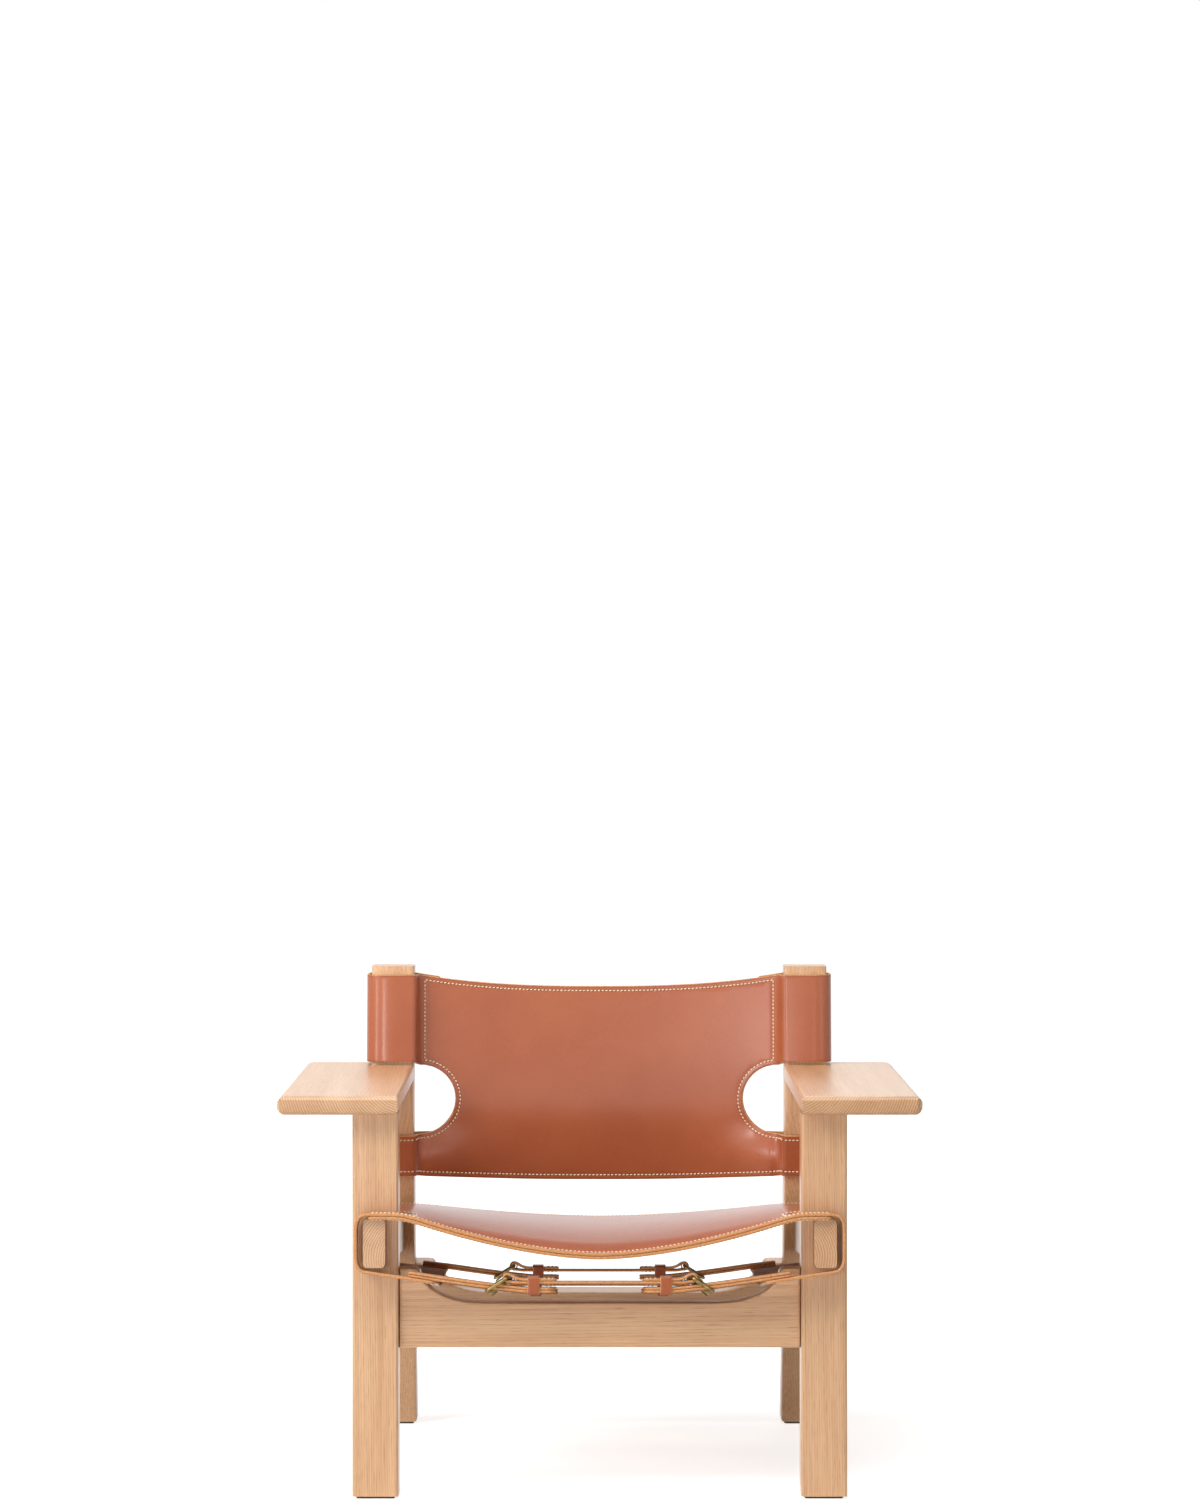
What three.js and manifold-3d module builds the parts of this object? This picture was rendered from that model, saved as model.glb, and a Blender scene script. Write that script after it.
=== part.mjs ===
// Leather sling lounge chair: an oak frame that carries a seat and a back of thick saddle leather.
// Millimetres, +Z up, +X to the viewer's right, +Y to the rear of the chair. Lengths along Y are measured
// from the front faces of the front legs. The finished group is shifted so that its origin is the middle
// of the chair's outline on the floor.

import * as THREE from 'three';
import { mergeVertices } from 'three/addons/utils/BufferGeometryUtils.js';
import Module from 'manifold-3d';

const wasm = await Module();
wasm.setup();

// Clearances
const CLEARANCE = 0.3;
const TURNING_CLEARANCE = 0.6;
const SLOT_CLEARANCE = 0.6;

// Legs
const LEGS_WIDTH = 634;
const LEG_WIDTH = 59;
const LEG_EDGE = 4;
const FRONT_LEG_DEPTH = 44;
const REAR_LEG_DEPTH = 46;
const REAR_FOOT_BACK = 565;
const KNEE_BACK = 460;
const KNEE_HEIGHT = 455;
const KNEE_BLEND = 34;
const POST_TOP_BACK = 477;
const POST_TOP_HEIGHT = 654.5;
const GLIDE_HEIGHT = 3;
const GLIDE_INSET = 5;

// Armrests
const ARM_UNDERSIDE = 494;
const ARM_THICKNESS = 24;
const ARM_WIDTH = 154.5;
const ARM_OVERHANG = 24;
const ARM_INNER_EDGE = 5;
const ARM_FRONT_EDGE = 10;
const ARM_CORNER = 14;

// Seat rails
const RAIL_WIDTH = 28;
const RAIL_HEIGHT = 61;
const RAIL_EDGE = 5;
const RAIL_REACH = 30;
const RAIL_FRONT_TOP = 361.7;
const RAIL_ANGLE = THREE.MathUtils.degToRad(5.7);

// Stretchers
const STRETCHER_HEIGHT = 102;
const STRETCHER_THICKNESS = 28;
const STRETCHER_EDGE = 4;
const STRETCHER_END_FLAT = 18;
const STRETCHER_SHOULDER = 10;
const STRETCHER_FLANK = 80;
const STRETCHER_DISH = 44;
const FRONT_STRETCHER_TOP = 294;
const FRONT_STRETCHER_SETBACK = 10;
const REAR_STRETCHER_TOP = 237;

// Tenons
const TENON_LENGTH = 20;
const TENON_THICKNESS = 14;
const TENON_SHOULDER = 11;
const ARM_TENON_HEIGHT = 12;

// Leather
const HIDE_THICKNESS = 4;
const LINING_THICKNESS = 4;
const WRAP_SLACK = 3.5;
const WRAP_SLACK_REAR = 11;
const WRAP_BULGE = 7.5;

// Seat sling
const SEAT_FRONT_REACH = 34;
const SEAT_REAR = 430;
const SEAT_SAG_FRONT = 41;
const SEAT_SAG_REAR = 17;
const SEAT_FRONT_ROLL = 6;
const SEAT_ROLL_LENGTH = 60;
const SEAT_FLAP_INSET = 48;
const LEG_SLOT_INSET = 15;
const LEG_SLOT_FRONT_GAP = 4;
const LEG_SLOT_REAR_GAP = 7;
const LEG_SLOT_RADIUS = 9;

// Back sling
const BACK_TOP_CENTRE_DROP = 30;
const BACK_TOP_SIDE_DROP = 11.5;
const BACK_BOTTOM_CENTRE = 352;
const BACK_BOTTOM_SIDE = 362;
const BACK_SETBACK = 23;
const BACK_SAG = 15;
const BACK_OUTER_BULGE = 3;
const ARM_HOLE_DROP = 74;
const ARM_HOLE_TOP_GAP = 4;
const ARM_HOLE_DIP = 6;
const ARM_HOLE_INSET = 57;
const BACK_WING_INSET = 33;
const BACK_WING_TAPER = 35;
const BACK_EDGE_TURN = 16;
const ARM_HOLE_TURN = 8;

// Straps and buckles
const STRAP_WIDTH = 25;
const STRAP_THICKNESS = 3.2;
const STRAP_FOLD_END = 56;
const BILLET_DROP = 9.5;
const BILLET_END = 55;
const BILLET_RISE = 4;
const BILLET_POINT = 9;
const BILLET_POINT_WIDTH = 0.5;
const BILLET_SEWN_LENGTH = 34;
const SEAT_BILLET_THICKNESS = 7;
const SEAT_BILLET_RISE = 5.5;
const BAR_THICKNESS = 4.5;
const BAR_EDGE = 1.2;
const BUCKLE_PLACE = 118;
const BUCKLE_LENGTH = 30.5;
const BUCKLE_TILT = THREE.MathUtils.degToRad(31.6);
const BUCKLE_SIDE_GAP = 1.2;
const HEEL_LIFT = 6;
const PRONG_THICKNESS = 3;
const PRONG_WIDTH = 4;
const PRONG_RING = 1.8;
const PRONG_OVERHANG = 4;
const PRONG_OPENING = THREE.MathUtils.degToRad(40);
const KEEPER_PLACE = 77;
const KEEPER_LENGTH = 15;
const KEEPER_THICKNESS = 2;
const SEAT_STRAP_MIDDLE = 200;
const SEAT_STRAP_REAR_INSET = 30;
const SEAT_STRAP_DROP = 18.6;
const SEAT_STRAP_MIDDLE_DROP = 32;
const SEAT_STRAP_REAR_DROP = 22.1;
const BACK_STRAP_DROP = 15;

// How the leather is divided and curved
const SEAT_COLUMNS = 8;
const SAG_FULLNESS = 1.17;
const SAG_POWER = 1.7;
const SAG_BLEND = 0.05;
const BACK_COLUMNS = 7;
const BACK_ROWS = 7;
const BACK_EDGE_POWER = 2.5;
const BILLET_STEPS = 8;
const ARC_PULL = 0.55;

// Places that follow from the sizes above
const legOuter = LEGS_WIDTH / 2;
const legInner = legOuter - LEG_WIDTH;
const legCentre = legOuter - LEG_WIDTH / 2;
const legBottom = GLIDE_HEIGHT + CLEARANCE;
const railInner = legCentre - RAIL_WIDTH / 2;
const railOuter = legCentre + RAIL_WIDTH / 2;
const armTop = ARM_UNDERSIDE + ARM_THICKNESS;
const armMiddle = ARM_UNDERSIDE + ARM_THICKNESS / 2;
const seatFront = -SEAT_FRONT_REACH;
const legSlotFront = -LEG_SLOT_FRONT_GAP;
const legSlotRear = FRONT_LEG_DEPTH + LEG_SLOT_REAR_GAP;
const seatFlapEnd = legInner - SEAT_FLAP_INSET;
const seatStrapFront = (seatFront + legSlotFront) / 2;
const seatStrapRear = SEAT_REAR - SEAT_STRAP_REAR_INSET;
const backTopSide = POST_TOP_HEIGHT - BACK_TOP_SIDE_DROP;
const backTopCentre = POST_TOP_HEIGHT - BACK_TOP_CENTRE_DROP;
const armHoleTop = armTop + ARM_HOLE_TOP_GAP;
const armHoleBottom = ARM_UNDERSIDE - ARM_HOLE_DROP;
const backStrapUpper = (armHoleTop + backTopSide) / 2;
const backStrapLower = (BACK_BOTTOM_SIDE + armHoleBottom) / 2;

const { lerp, smoothstep } = THREE.MathUtils;
const vec2 = (x, y) => new THREE.Vector2(x, y);

// Axes for outlines drawn in a plane and extruded along the third direction
const SIDE_PLANE = new THREE.Matrix4().makeBasis(
  new THREE.Vector3(0, 1, 0), new THREE.Vector3(0, 0, 1), new THREE.Vector3(1, 0, 0));
const FRONT_PLANE = new THREE.Matrix4().makeBasis(
  new THREE.Vector3(1, 0, 0), new THREE.Vector3(0, 0, 1), new THREE.Vector3(0, -1, 0));

/** Height of a rail's top face at a place along the chair. */
function railTop(y) {
  return RAIL_FRONT_TOP - (y + RAIL_REACH) * Math.tan(RAIL_ANGLE);
}

/** Height of a rail's bottom face at a place along the chair. */
function railBottom(y) {
  return railTop(y) - RAIL_HEIGHT / Math.cos(RAIL_ANGLE);
}

/** Rear face of a rear leg at a height, with the knee left sharp. */
function postRear(z) {
  if (z < KNEE_HEIGHT) {
    return lerp(REAR_FOOT_BACK, KNEE_BACK, z / KNEE_HEIGHT);
  }
  return lerp(KNEE_BACK, POST_TOP_BACK, (z - KNEE_HEIGHT) / (POST_TOP_HEIGHT - KNEE_HEIGHT));
}

/** Front face of a rear leg at a height. */
function postFront(z) {
  return postRear(z) - REAR_LEG_DEPTH;
}

/** Turns a closed three.js geometry into a solid that can be cut and joined. */
function toSolid(geometry) {
  const bare = geometry.clone();
  bare.deleteAttribute('normal');
  bare.deleteAttribute('uv');
  const merged = mergeVertices(bare, 1e-4);
  return new wasm.Manifold(new wasm.Mesh({
    numProp: 3,
    vertProperties: new Float32Array(merged.attributes.position.array),
    triVerts: new Uint32Array(merged.index.array),
  }));
}

/** Turns a solid back into a geometry. */
function toGeometry(solid) {
  const mesh = solid.getMesh();
  const geometry = new THREE.BufferGeometry();
  const positions = new Float32Array(mesh.numVert * 3);
  for (let i = 0; i < mesh.numVert; i += 1) {
    for (let k = 0; k < 3; k += 1) {
      positions[3 * i + k] = mesh.vertProperties[mesh.numProp * i + k];
    }
  }
  geometry.setAttribute('position', new THREE.BufferAttribute(positions, 3));
  geometry.setIndex(new THREE.BufferAttribute(new Uint32Array(mesh.triVerts), 1));
  return geometry;
}

/** A geometry with others taken out of it. */
function cut(geometry, ...tools) {
  return toGeometry(tools.reduce((solid, tool) => solid.subtract(toSolid(tool)), toSolid(geometry)));
}

/** Geometries joined into one body. */
function join(geometry, ...others) {
  return toGeometry(others.reduce((solid, other) => solid.add(toSolid(other)), toSolid(geometry)));
}

/** What several geometries have in common. */
function common(geometry, ...others) {
  return toGeometry(others.reduce((solid, other) => solid.intersect(toSolid(other)), toSolid(geometry)));
}

/** A copy of a geometry on the other side of the chair's middle plane. */
function mirrored(geometry) {
  const bare = geometry.clone();
  bare.deleteAttribute('normal');
  bare.deleteAttribute('uv');
  const copy = mergeVertices(bare, 1e-4);
  copy.scale(-1, 1, 1);
  const index = copy.index.array;
  for (let i = 0; i < index.length; i += 3) {
    [index[i], index[i + 1]] = [index[i + 1], index[i]];
  }
  return copy;
}

/** A rectangle with rounded corners, about its centre. */
function roundedRectangle(width, height, radius) {
  const x = width / 2 - radius;
  const y = height / 2 - radius;
  const shape = new THREE.Shape();
  shape.absarc(x, y, radius, 0, Math.PI / 2);
  shape.absarc(-x, y, radius, Math.PI / 2, Math.PI);
  shape.absarc(-x, -y, radius, Math.PI, 1.5 * Math.PI);
  shape.absarc(x, -y, radius, 1.5 * Math.PI, 2 * Math.PI);
  return shape;
}

/** An outline extruded to a thickness, centred on its plane, with rounded rims if an edge is given. */
function slab(shape, thickness, edge = 0, curveSegments = 2, bevelSegments = 2) {
  const geometry = new THREE.ExtrudeGeometry(shape, {
    depth: thickness - 2 * edge,
    bevelEnabled: edge > 0,
    bevelThickness: edge,
    bevelSize: edge,
    bevelOffset: -edge,
    bevelSegments,
    curveSegments,
  });
  return geometry.translate(0, 0, edge - thickness / 2);
}

/** A box with a size, about a centre. */
function block(width, depth, height, x, y, z) {
  return new THREE.BoxGeometry(width, depth, height).translate(x, y, z);
}

/** Points moved sideways off a line by a distance, to the left of its direction. */
function offsetLine(points, distance) {
  return points.map((point, i) => {
    const before = points[Math.max(i - 1, 0)];
    const after = points[Math.min(i + 1, points.length - 1)];
    const along = after.clone().sub(before).normalize();
    return vec2(point.x - along.y * distance, point.y + along.x * distance);
  });
}

/** A closed sheet between two grids of points, given row by row. */
function sheet(upper, lower) {
  const rows = upper.length;
  const columns = upper[0].length;
  const positions = [...upper.flat(), ...lower.flat()].flatMap((point) => [point.x, point.y, point.z]);
  const top = (i, j) => i * columns + j;
  const bottom = (i, j) => (rows + i) * columns + j;
  const index = [];
  const quad = (a, b, c, d) => index.push(a, b, c, a, c, d);
  for (let i = 0; i + 1 < rows; i += 1) {
    for (let j = 0; j + 1 < columns; j += 1) {
      quad(top(i, j), top(i, j + 1), top(i + 1, j + 1), top(i + 1, j));
      quad(bottom(i, j), bottom(i + 1, j), bottom(i + 1, j + 1), bottom(i, j + 1));
    }
    const last = columns - 1;
    quad(top(i, 0), top(i + 1, 0), bottom(i + 1, 0), bottom(i, 0));
    quad(top(i, last), bottom(i, last), bottom(i + 1, last), top(i + 1, last));
  }
  for (let j = 0; j + 1 < columns; j += 1) {
    const last = rows - 1;
    quad(top(0, j), bottom(0, j), bottom(0, j + 1), top(0, j + 1));
    quad(top(last, j), top(last, j + 1), bottom(last, j + 1), bottom(last, j));
  }
  const geometry = new THREE.BufferGeometry();
  geometry.setAttribute('position', new THREE.Float32BufferAttribute(positions, 3));
  geometry.setIndex(index);
  return geometry;
}

/** A rail's rear tenon, grown by a clearance when it cuts its mortise. */
function railTenon(grow) {
  const width = TENON_THICKNESS + 2 * grow;
  const height = RAIL_HEIGHT - 2 * TENON_SHOULDER + 2 * grow;
  const start = railLength() - 2 * TENON_LENGTH;
  const length = 3 * TENON_LENGTH + grow;
  return alongRail(new THREE.BoxGeometry(width, height, length).translate(0, 0, start + length / 2));
}

/** Length of a rail from its front end to the middle of its shoulder on the rear leg. */
function railLength() {
  const shoulder = postFront(railTop(postFront(0)) - RAIL_HEIGHT / 2);
  return (shoulder + RAIL_REACH) / Math.cos(RAIL_ANGLE);
}

/** Moves a geometry drawn along +Z from the origin on to the right rail's sloping centre line. */
function alongRail(geometry) {
  const front = (railTop(-RAIL_REACH) + railBottom(-RAIL_REACH)) / 2;
  return geometry
    .rotateX(-Math.PI / 2)
    .rotateX(-RAIL_ANGLE)
    .translate(legCentre, -RAIL_REACH, front);
}

/** A bar with the rail's section, grown by a clearance when it cuts a mortise. */
function railBar(length, grow) {
  const section = roundedRectangle(RAIL_WIDTH + 2 * grow, RAIL_HEIGHT + 2 * grow, RAIL_EDGE + grow);
  return alongRail(slab(section, length).translate(0, 0, length / 2));
}

/** The right seat rail, with its shoulder cut to the rear leg and its tenon. */
function seatRail() {
  const body = railBar(railLength() + TENON_LENGTH, 0);
  return join(cut(body, rearLegBlank(CLEARANCE)), railTenon(0));
}

/** The outline of a rear leg seen from the side, grown by a clearance when it cuts another piece. */
function rearLegOutline(grow) {
  const low = KNEE_HEIGHT - KNEE_BLEND;
  const high = KNEE_HEIGHT + KNEE_BLEND;
  const top = POST_TOP_HEIGHT + 2 * LEG_EDGE;
  const shape = new THREE.Shape();
  shape.moveTo(postFront(legBottom) - grow, legBottom);
  shape.lineTo(postRear(legBottom) + grow, legBottom);
  shape.lineTo(postRear(low) + grow, low);
  shape.quadraticCurveTo(postRear(KNEE_HEIGHT) + grow, KNEE_HEIGHT, postRear(high) + grow, high);
  shape.lineTo(postRear(top) + grow, top);
  shape.lineTo(postFront(top) - grow, top);
  shape.lineTo(postFront(high) - grow, high);
  shape.quadraticCurveTo(postFront(KNEE_HEIGHT) - grow, KNEE_HEIGHT, postFront(low) - grow, low);
  return shape;
}

/** A right rear leg without its mortises, sawn off level at the top. */
function rearLegBlank(grow) {
  const long = slab(rearLegOutline(grow), LEG_WIDTH + 2 * grow, LEG_EDGE)
    .applyMatrix4(SIDE_PLANE)
    .translate(legCentre, 0, 0);
  const above = POST_TOP_HEIGHT + grow + LEG_WIDTH / 2;
  const waste = block(2 * LEG_WIDTH, 4 * REAR_LEG_DEPTH, LEG_WIDTH, legCentre, POST_TOP_BACK, above);
  return cut(long, waste);
}

/** The right rear leg. */
function rearLeg() {
  const stretcherMortise = placedRear(stretcherTenons(CLEARANCE));
  return cut(rearLegBlank(0), railTenon(CLEARANCE), armRearTenon(CLEARANCE), stretcherMortise);
}

/** The tenon on top of the right front leg. */
function armFrontTenon(grow) {
  const width = LEG_WIDTH - 2 * TENON_SHOULDER + 2 * grow;
  const height = ARM_TENON_HEIGHT + LEG_EDGE + grow;
  const bottom = ARM_UNDERSIDE - LEG_EDGE;
  const depth = TENON_THICKNESS + 2 * grow;
  return block(width, depth, height, legCentre, FRONT_LEG_DEPTH / 2, bottom + height / 2);
}

/** The tenon by which the right armrest enters its rear post. */
function armRearTenon(grow) {
  const width = LEG_WIDTH - 2 * TENON_SHOULDER + 2 * grow;
  const length = 2 * TENON_LENGTH + grow;
  const middle = postFront(armMiddle) - TENON_LENGTH + length / 2;
  return block(width, length, ARM_TENON_HEIGHT + 2 * grow, legCentre, middle, armMiddle);
}

/** The right front leg: a square post with a tenon on top and two mortises. */
function frontLeg() {
  const height = ARM_UNDERSIDE - CLEARANCE - legBottom;
  const post = slab(roundedRectangle(LEG_WIDTH, FRONT_LEG_DEPTH, LEG_EDGE), height)
    .translate(legCentre, FRONT_LEG_DEPTH / 2, legBottom + height / 2);
  const railHole = railBar(railLength(), CLEARANCE);
  return join(cut(post, railHole, placedFront(stretcherTenons(CLEARANCE))), armFrontTenon(0));
}

/** The right armrest: a board with a round outer edge, notched round the rear post. */
function armrest() {
  const outer = legInner + ARM_WIDTH;
  const rear = postRear(armMiddle);
  const bullnose = ARM_THICKNESS / 2;
  const section = new THREE.Shape();
  const inner = legInner + ARM_INNER_EDGE;
  section.absarc(inner, ARM_UNDERSIDE + ARM_INNER_EDGE, ARM_INNER_EDGE, Math.PI, 1.5 * Math.PI);
  section.absarc(outer - bullnose, armMiddle, bullnose, -Math.PI / 2, Math.PI / 2);
  section.absarc(inner, armTop - ARM_INNER_EDGE, ARM_INNER_EDGE, Math.PI / 2, Math.PI);
  const length = rear + ARM_OVERHANG;
  const bar = slab(section, length, 0, 4).applyMatrix4(FRONT_PLANE).translate(0, rear - length / 2, 0);

  const plan = new THREE.Shape();
  plan.moveTo(legInner, -ARM_OVERHANG);
  plan.lineTo(outer - ARM_CORNER, -ARM_OVERHANG);
  plan.quadraticCurveTo(outer, -ARM_OVERHANG, outer, ARM_CORNER - ARM_OVERHANG);
  plan.lineTo(outer, rear - ARM_CORNER);
  plan.quadraticCurveTo(outer, rear, outer - ARM_CORNER, rear);
  plan.lineTo(legOuter + CLEARANCE, rear);
  plan.lineTo(legOuter + CLEARANCE, rear - REAR_LEG_DEPTH / 2);
  plan.lineTo(legInner, rear - REAR_LEG_DEPTH / 2);
  const outline = slab(plan, 2 * ARM_THICKNESS, 0, 4).translate(0, 0, armMiddle);

  const side = new THREE.Shape();
  side.moveTo(rear, ARM_UNDERSIDE);
  side.lineTo(rear, armTop);
  side.lineTo(ARM_FRONT_EDGE - ARM_OVERHANG, armTop);
  side.quadraticCurveTo(-ARM_OVERHANG, armTop, -ARM_OVERHANG, armTop - ARM_FRONT_EDGE);
  side.lineTo(-ARM_OVERHANG, ARM_UNDERSIDE + ARM_INNER_EDGE);
  side.quadraticCurveTo(-ARM_OVERHANG, ARM_UNDERSIDE, ARM_INNER_EDGE - ARM_OVERHANG, ARM_UNDERSIDE);
  const profile = slab(side, 2 * ARM_WIDTH, 0, 4)
    .applyMatrix4(SIDE_PLANE)
    .translate(outer - ARM_WIDTH / 2, 0, 0);

  const board = cut(common(bar, outline, profile), rearLegBlank(CLEARANCE), armFrontTenon(CLEARANCE));
  return join(board, armRearTenon(0));
}

/** The tenons at both ends of a stretcher, in the stretcher's own place. */
function stretcherTenons(grow) {
  const height = STRETCHER_HEIGHT - 2 * TENON_SHOULDER + 2 * grow;
  const length = 2 * (legInner + TENON_LENGTH + grow);
  return block(length, TENON_THICKNESS + 2 * grow, height, 0, 0, -STRETCHER_HEIGHT / 2);
}

/** A dished board between two legs, hung from the top of its ends. */
function stretcher() {
  const end = legInner - CLEARANCE;
  const shoulder = end - STRETCHER_END_FLAT;
  const brow = shoulder - STRETCHER_SHOULDER;
  const flat = brow - STRETCHER_FLANK;
  const steep = lerp(brow, flat, 0.1);
  const gentle = lerp(brow, flat, 0.45);
  const fall = -0.64 * STRETCHER_DISH;
  const shape = new THREE.Shape();
  shape.moveTo(-end, -STRETCHER_HEIGHT);
  shape.lineTo(end, -STRETCHER_HEIGHT);
  shape.lineTo(end, 0);
  shape.lineTo(shoulder, 0);
  shape.quadraticCurveTo(brow, 0, brow, -STRETCHER_SHOULDER);
  shape.bezierCurveTo(steep, fall, gentle, -STRETCHER_DISH, flat, -STRETCHER_DISH);
  shape.lineTo(-flat, -STRETCHER_DISH);
  shape.bezierCurveTo(-gentle, -STRETCHER_DISH, -steep, fall, -brow, -STRETCHER_SHOULDER);
  shape.quadraticCurveTo(-brow, 0, -shoulder, 0);
  shape.lineTo(-end, 0);
  const board = slab(shape, STRETCHER_THICKNESS, STRETCHER_EDGE, 6).applyMatrix4(FRONT_PLANE);
  const between = block(2 * shoulder, 2 * TENON_THICKNESS, 3 * STRETCHER_HEIGHT, 0, 0, 0);
  const ends = cut(stretcherTenons(0), between);
  return join(board, ends);
}

/** Puts a geometry of the front stretcher in its place. */
function placedFront(geometry) {
  return geometry.translate(0, FRONT_STRETCHER_SETBACK + STRETCHER_THICKNESS / 2, FRONT_STRETCHER_TOP);
}

/** Puts a geometry of the rear stretcher in its place, raked with the rear legs. */
function placedRear(geometry) {
  const rake = Math.atan2(REAR_FOOT_BACK - KNEE_BACK, KNEE_HEIGHT);
  return geometry
    .rotateX(rake)
    .translate(0, postRear(REAR_STRETCHER_TOP) - REAR_LEG_DEPTH / 2, REAR_STRETCHER_TOP);
}

/** A thin pad under a foot that spans a depth. */
function glide(depth, y) {
  const pad = roundedRectangle(LEG_WIDTH - 2 * GLIDE_INSET, depth - 2 * GLIDE_INSET, LEG_EDGE);
  return slab(pad, GLIDE_HEIGHT).translate(legCentre, y, GLIDE_HEIGHT / 2);
}

/** How far the seat straps hang below the rails at a place along the chair. */
function strapDrop(y) {
  const toMiddle = smoothstep(y, legSlotFront, SEAT_STRAP_MIDDLE - STRAP_WIDTH / 2);
  const toRear = smoothstep(y, SEAT_STRAP_MIDDLE + STRAP_WIDTH / 2, seatStrapRear - STRAP_WIDTH / 2);
  return lerp(lerp(SEAT_STRAP_DROP, SEAT_STRAP_MIDDLE_DROP, toMiddle), SEAT_STRAP_REAR_DROP, toRear);
}

/** Height of the middle of the seat straps at a place along the chair. */
function strapHeight(y) {
  return railBottom(y) - strapDrop(y);
}

/** The middle line of the seat's flap at a place, from under the rail to the flap's end. */
function seatFlap(y) {
  const slack = lerp(WRAP_SLACK, WRAP_SLACK_REAR, (y - seatFront) / (SEAT_REAR - seatFront));
  const under = vec2(railOuter - RAIL_EDGE, railBottom(y) - slack - HIDE_THICKNESS / 2);
  const billet = strapHeight(y) + SEAT_BILLET_RISE;
  const below = (HIDE_THICKNESS + SEAT_BILLET_THICKNESS) / 2 + CLEARANCE;
  const slope = (under.y - billet + below) / (under.x - seatFlapEnd);
  return [under, vec2(seatFlapEnd, billet - below * Math.hypot(1, slope))];
}

/** The seat hide's middle line across the chair at a place along it, from its middle to the right flap. */
function seatLine(y) {
  const rest = railTop(y) + 2 * CLEARANCE + LINING_THICKNESS + HIDE_THICKNESS / 2;
  const roll = Math.max(0, 1 - (y - seatFront) / SEAT_ROLL_LENGTH) ** 2;
  const along = (y - seatFront) / (SEAT_REAR - seatFront);
  const sag = lerp(SEAT_SAG_FRONT, SEAT_SAG_REAR, along) + SEAT_FRONT_ROLL * roll;
  const points = [];
  for (let i = 0; i < SEAT_COLUMNS; i += 1) {
    const share = i / SEAT_COLUMNS;
    const slack = SAG_FULLNESS * share ** SAG_POWER;
    const level = -SAG_BLEND * Math.log(Math.exp(-slack / SAG_BLEND) + Math.exp(-1 / SAG_BLEND));
    points.push(vec2(share * railInner, rest - sag * (1 - level)));
  }
  points.push(vec2(railInner, rest));
  const outer = railOuter + WRAP_BULGE + HIDE_THICKNESS / 2;
  const [under, end] = seatFlap(y);
  const turn = RAIL_HEIGHT / 3;
  const wrap = new THREE.Path();
  wrap.moveTo(railOuter - RAIL_EDGE, rest);
  wrap.quadraticCurveTo(outer, rest, outer, rest - turn);
  wrap.lineTo(outer, under.y + turn);
  wrap.quadraticCurveTo(outer, under.y, under.x, under.y);
  wrap.lineTo((under.x + end.x) / 2, (under.y + end.y) / 2);
  wrap.lineTo(end.x, end.y);
  return [...points, ...wrap.getPoints(3)];
}

/** A half line from the chair's middle to the right, with its mirror image before it. */
function wholeLine(half) {
  const left = half.slice(1).reverse().map((point) => vec2(-point.x, point.y));
  return [...left, ...half];
}

/** Places along the chair where the seat's sheets have a row of points. */
function seatRows() {
  const aside = 0.7 * STRAP_WIDTH;
  const straps = [SEAT_STRAP_MIDDLE, seatStrapRear].flatMap((y) => [y - aside, y + aside]);
  const front = [seatFront, legSlotFront, FRONT_LEG_DEPTH / 2, legSlotRear];
  const between = [(legSlotRear + straps[0]) / 2, (straps[1] + straps[2]) / 2];
  return [...front, ...straps, ...between, SEAT_REAR].sort((a, b) => a - b);
}

/** A sheet across the seat, from its middle lines at each row. */
function seatSheet(lineAt, thickness) {
  const side = (distance) => seatRows().map((y) => offsetLine(lineAt(y), distance)
    .map((point) => new THREE.Vector3(point.x, y, point.y)));
  return sheet(side(thickness / 2), side(-thickness / 2));
}

/** The slot in the seat round the right front leg, open to the outside and wider in the flap below. */
function legSlot() {
  const inner = legInner - LEG_SLOT_INSET;
  const outer = legOuter + RAIL_WIDTH;
  const depth = legSlotRear - legSlotFront;
  const middle = (legSlotFront + legSlotRear) / 2;
  const shape = roundedRectangle(outer - inner, depth, LEG_SLOT_RADIUS);
  const slot = slab(shape, ARM_UNDERSIDE).translate((inner + outer) / 2, middle, ARM_UNDERSIDE / 2);
  const level = (railTop(middle) + railBottom(middle)) / 2;
  const flapInner = seatFlapEnd - STRAP_WIDTH;
  const below = block(outer - flapInner, depth, level, (flapInner + outer) / 2, middle, level / 2);
  return join(slot, below);
}

/** The seat hide: the visible upper layer with its wraps and flaps. */
function seatHide() {
  const whole = seatSheet((y) => wholeLine(seatLine(y)), HIDE_THICKNESS);
  return cut(whole, legSlot(), mirrored(legSlot()));
}

/** The seat lining: the second layer under the hide, from rail to rail. */
function seatLining() {
  const below = HIDE_THICKNESS / 2 + CLEARANCE + LINING_THICKNESS / 2;
  const lineAt = (y) => {
    const half = seatLine(y).filter((point, i) => i <= SEAT_COLUMNS + 1);
    return offsetLine(wholeLine(half), -below);
  };
  return cut(seatSheet(lineAt, LINING_THICKNESS), legSlot(), mirrored(legSlot()));
}

/** Rear face of the posts as the straight run from strap to strap, without the knee. */
function backPlane(z) {
  const share = (z - backStrapLower) / (backStrapUpper - backStrapLower);
  return lerp(postRear(backStrapLower), postRear(backStrapUpper), share);
}

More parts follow.
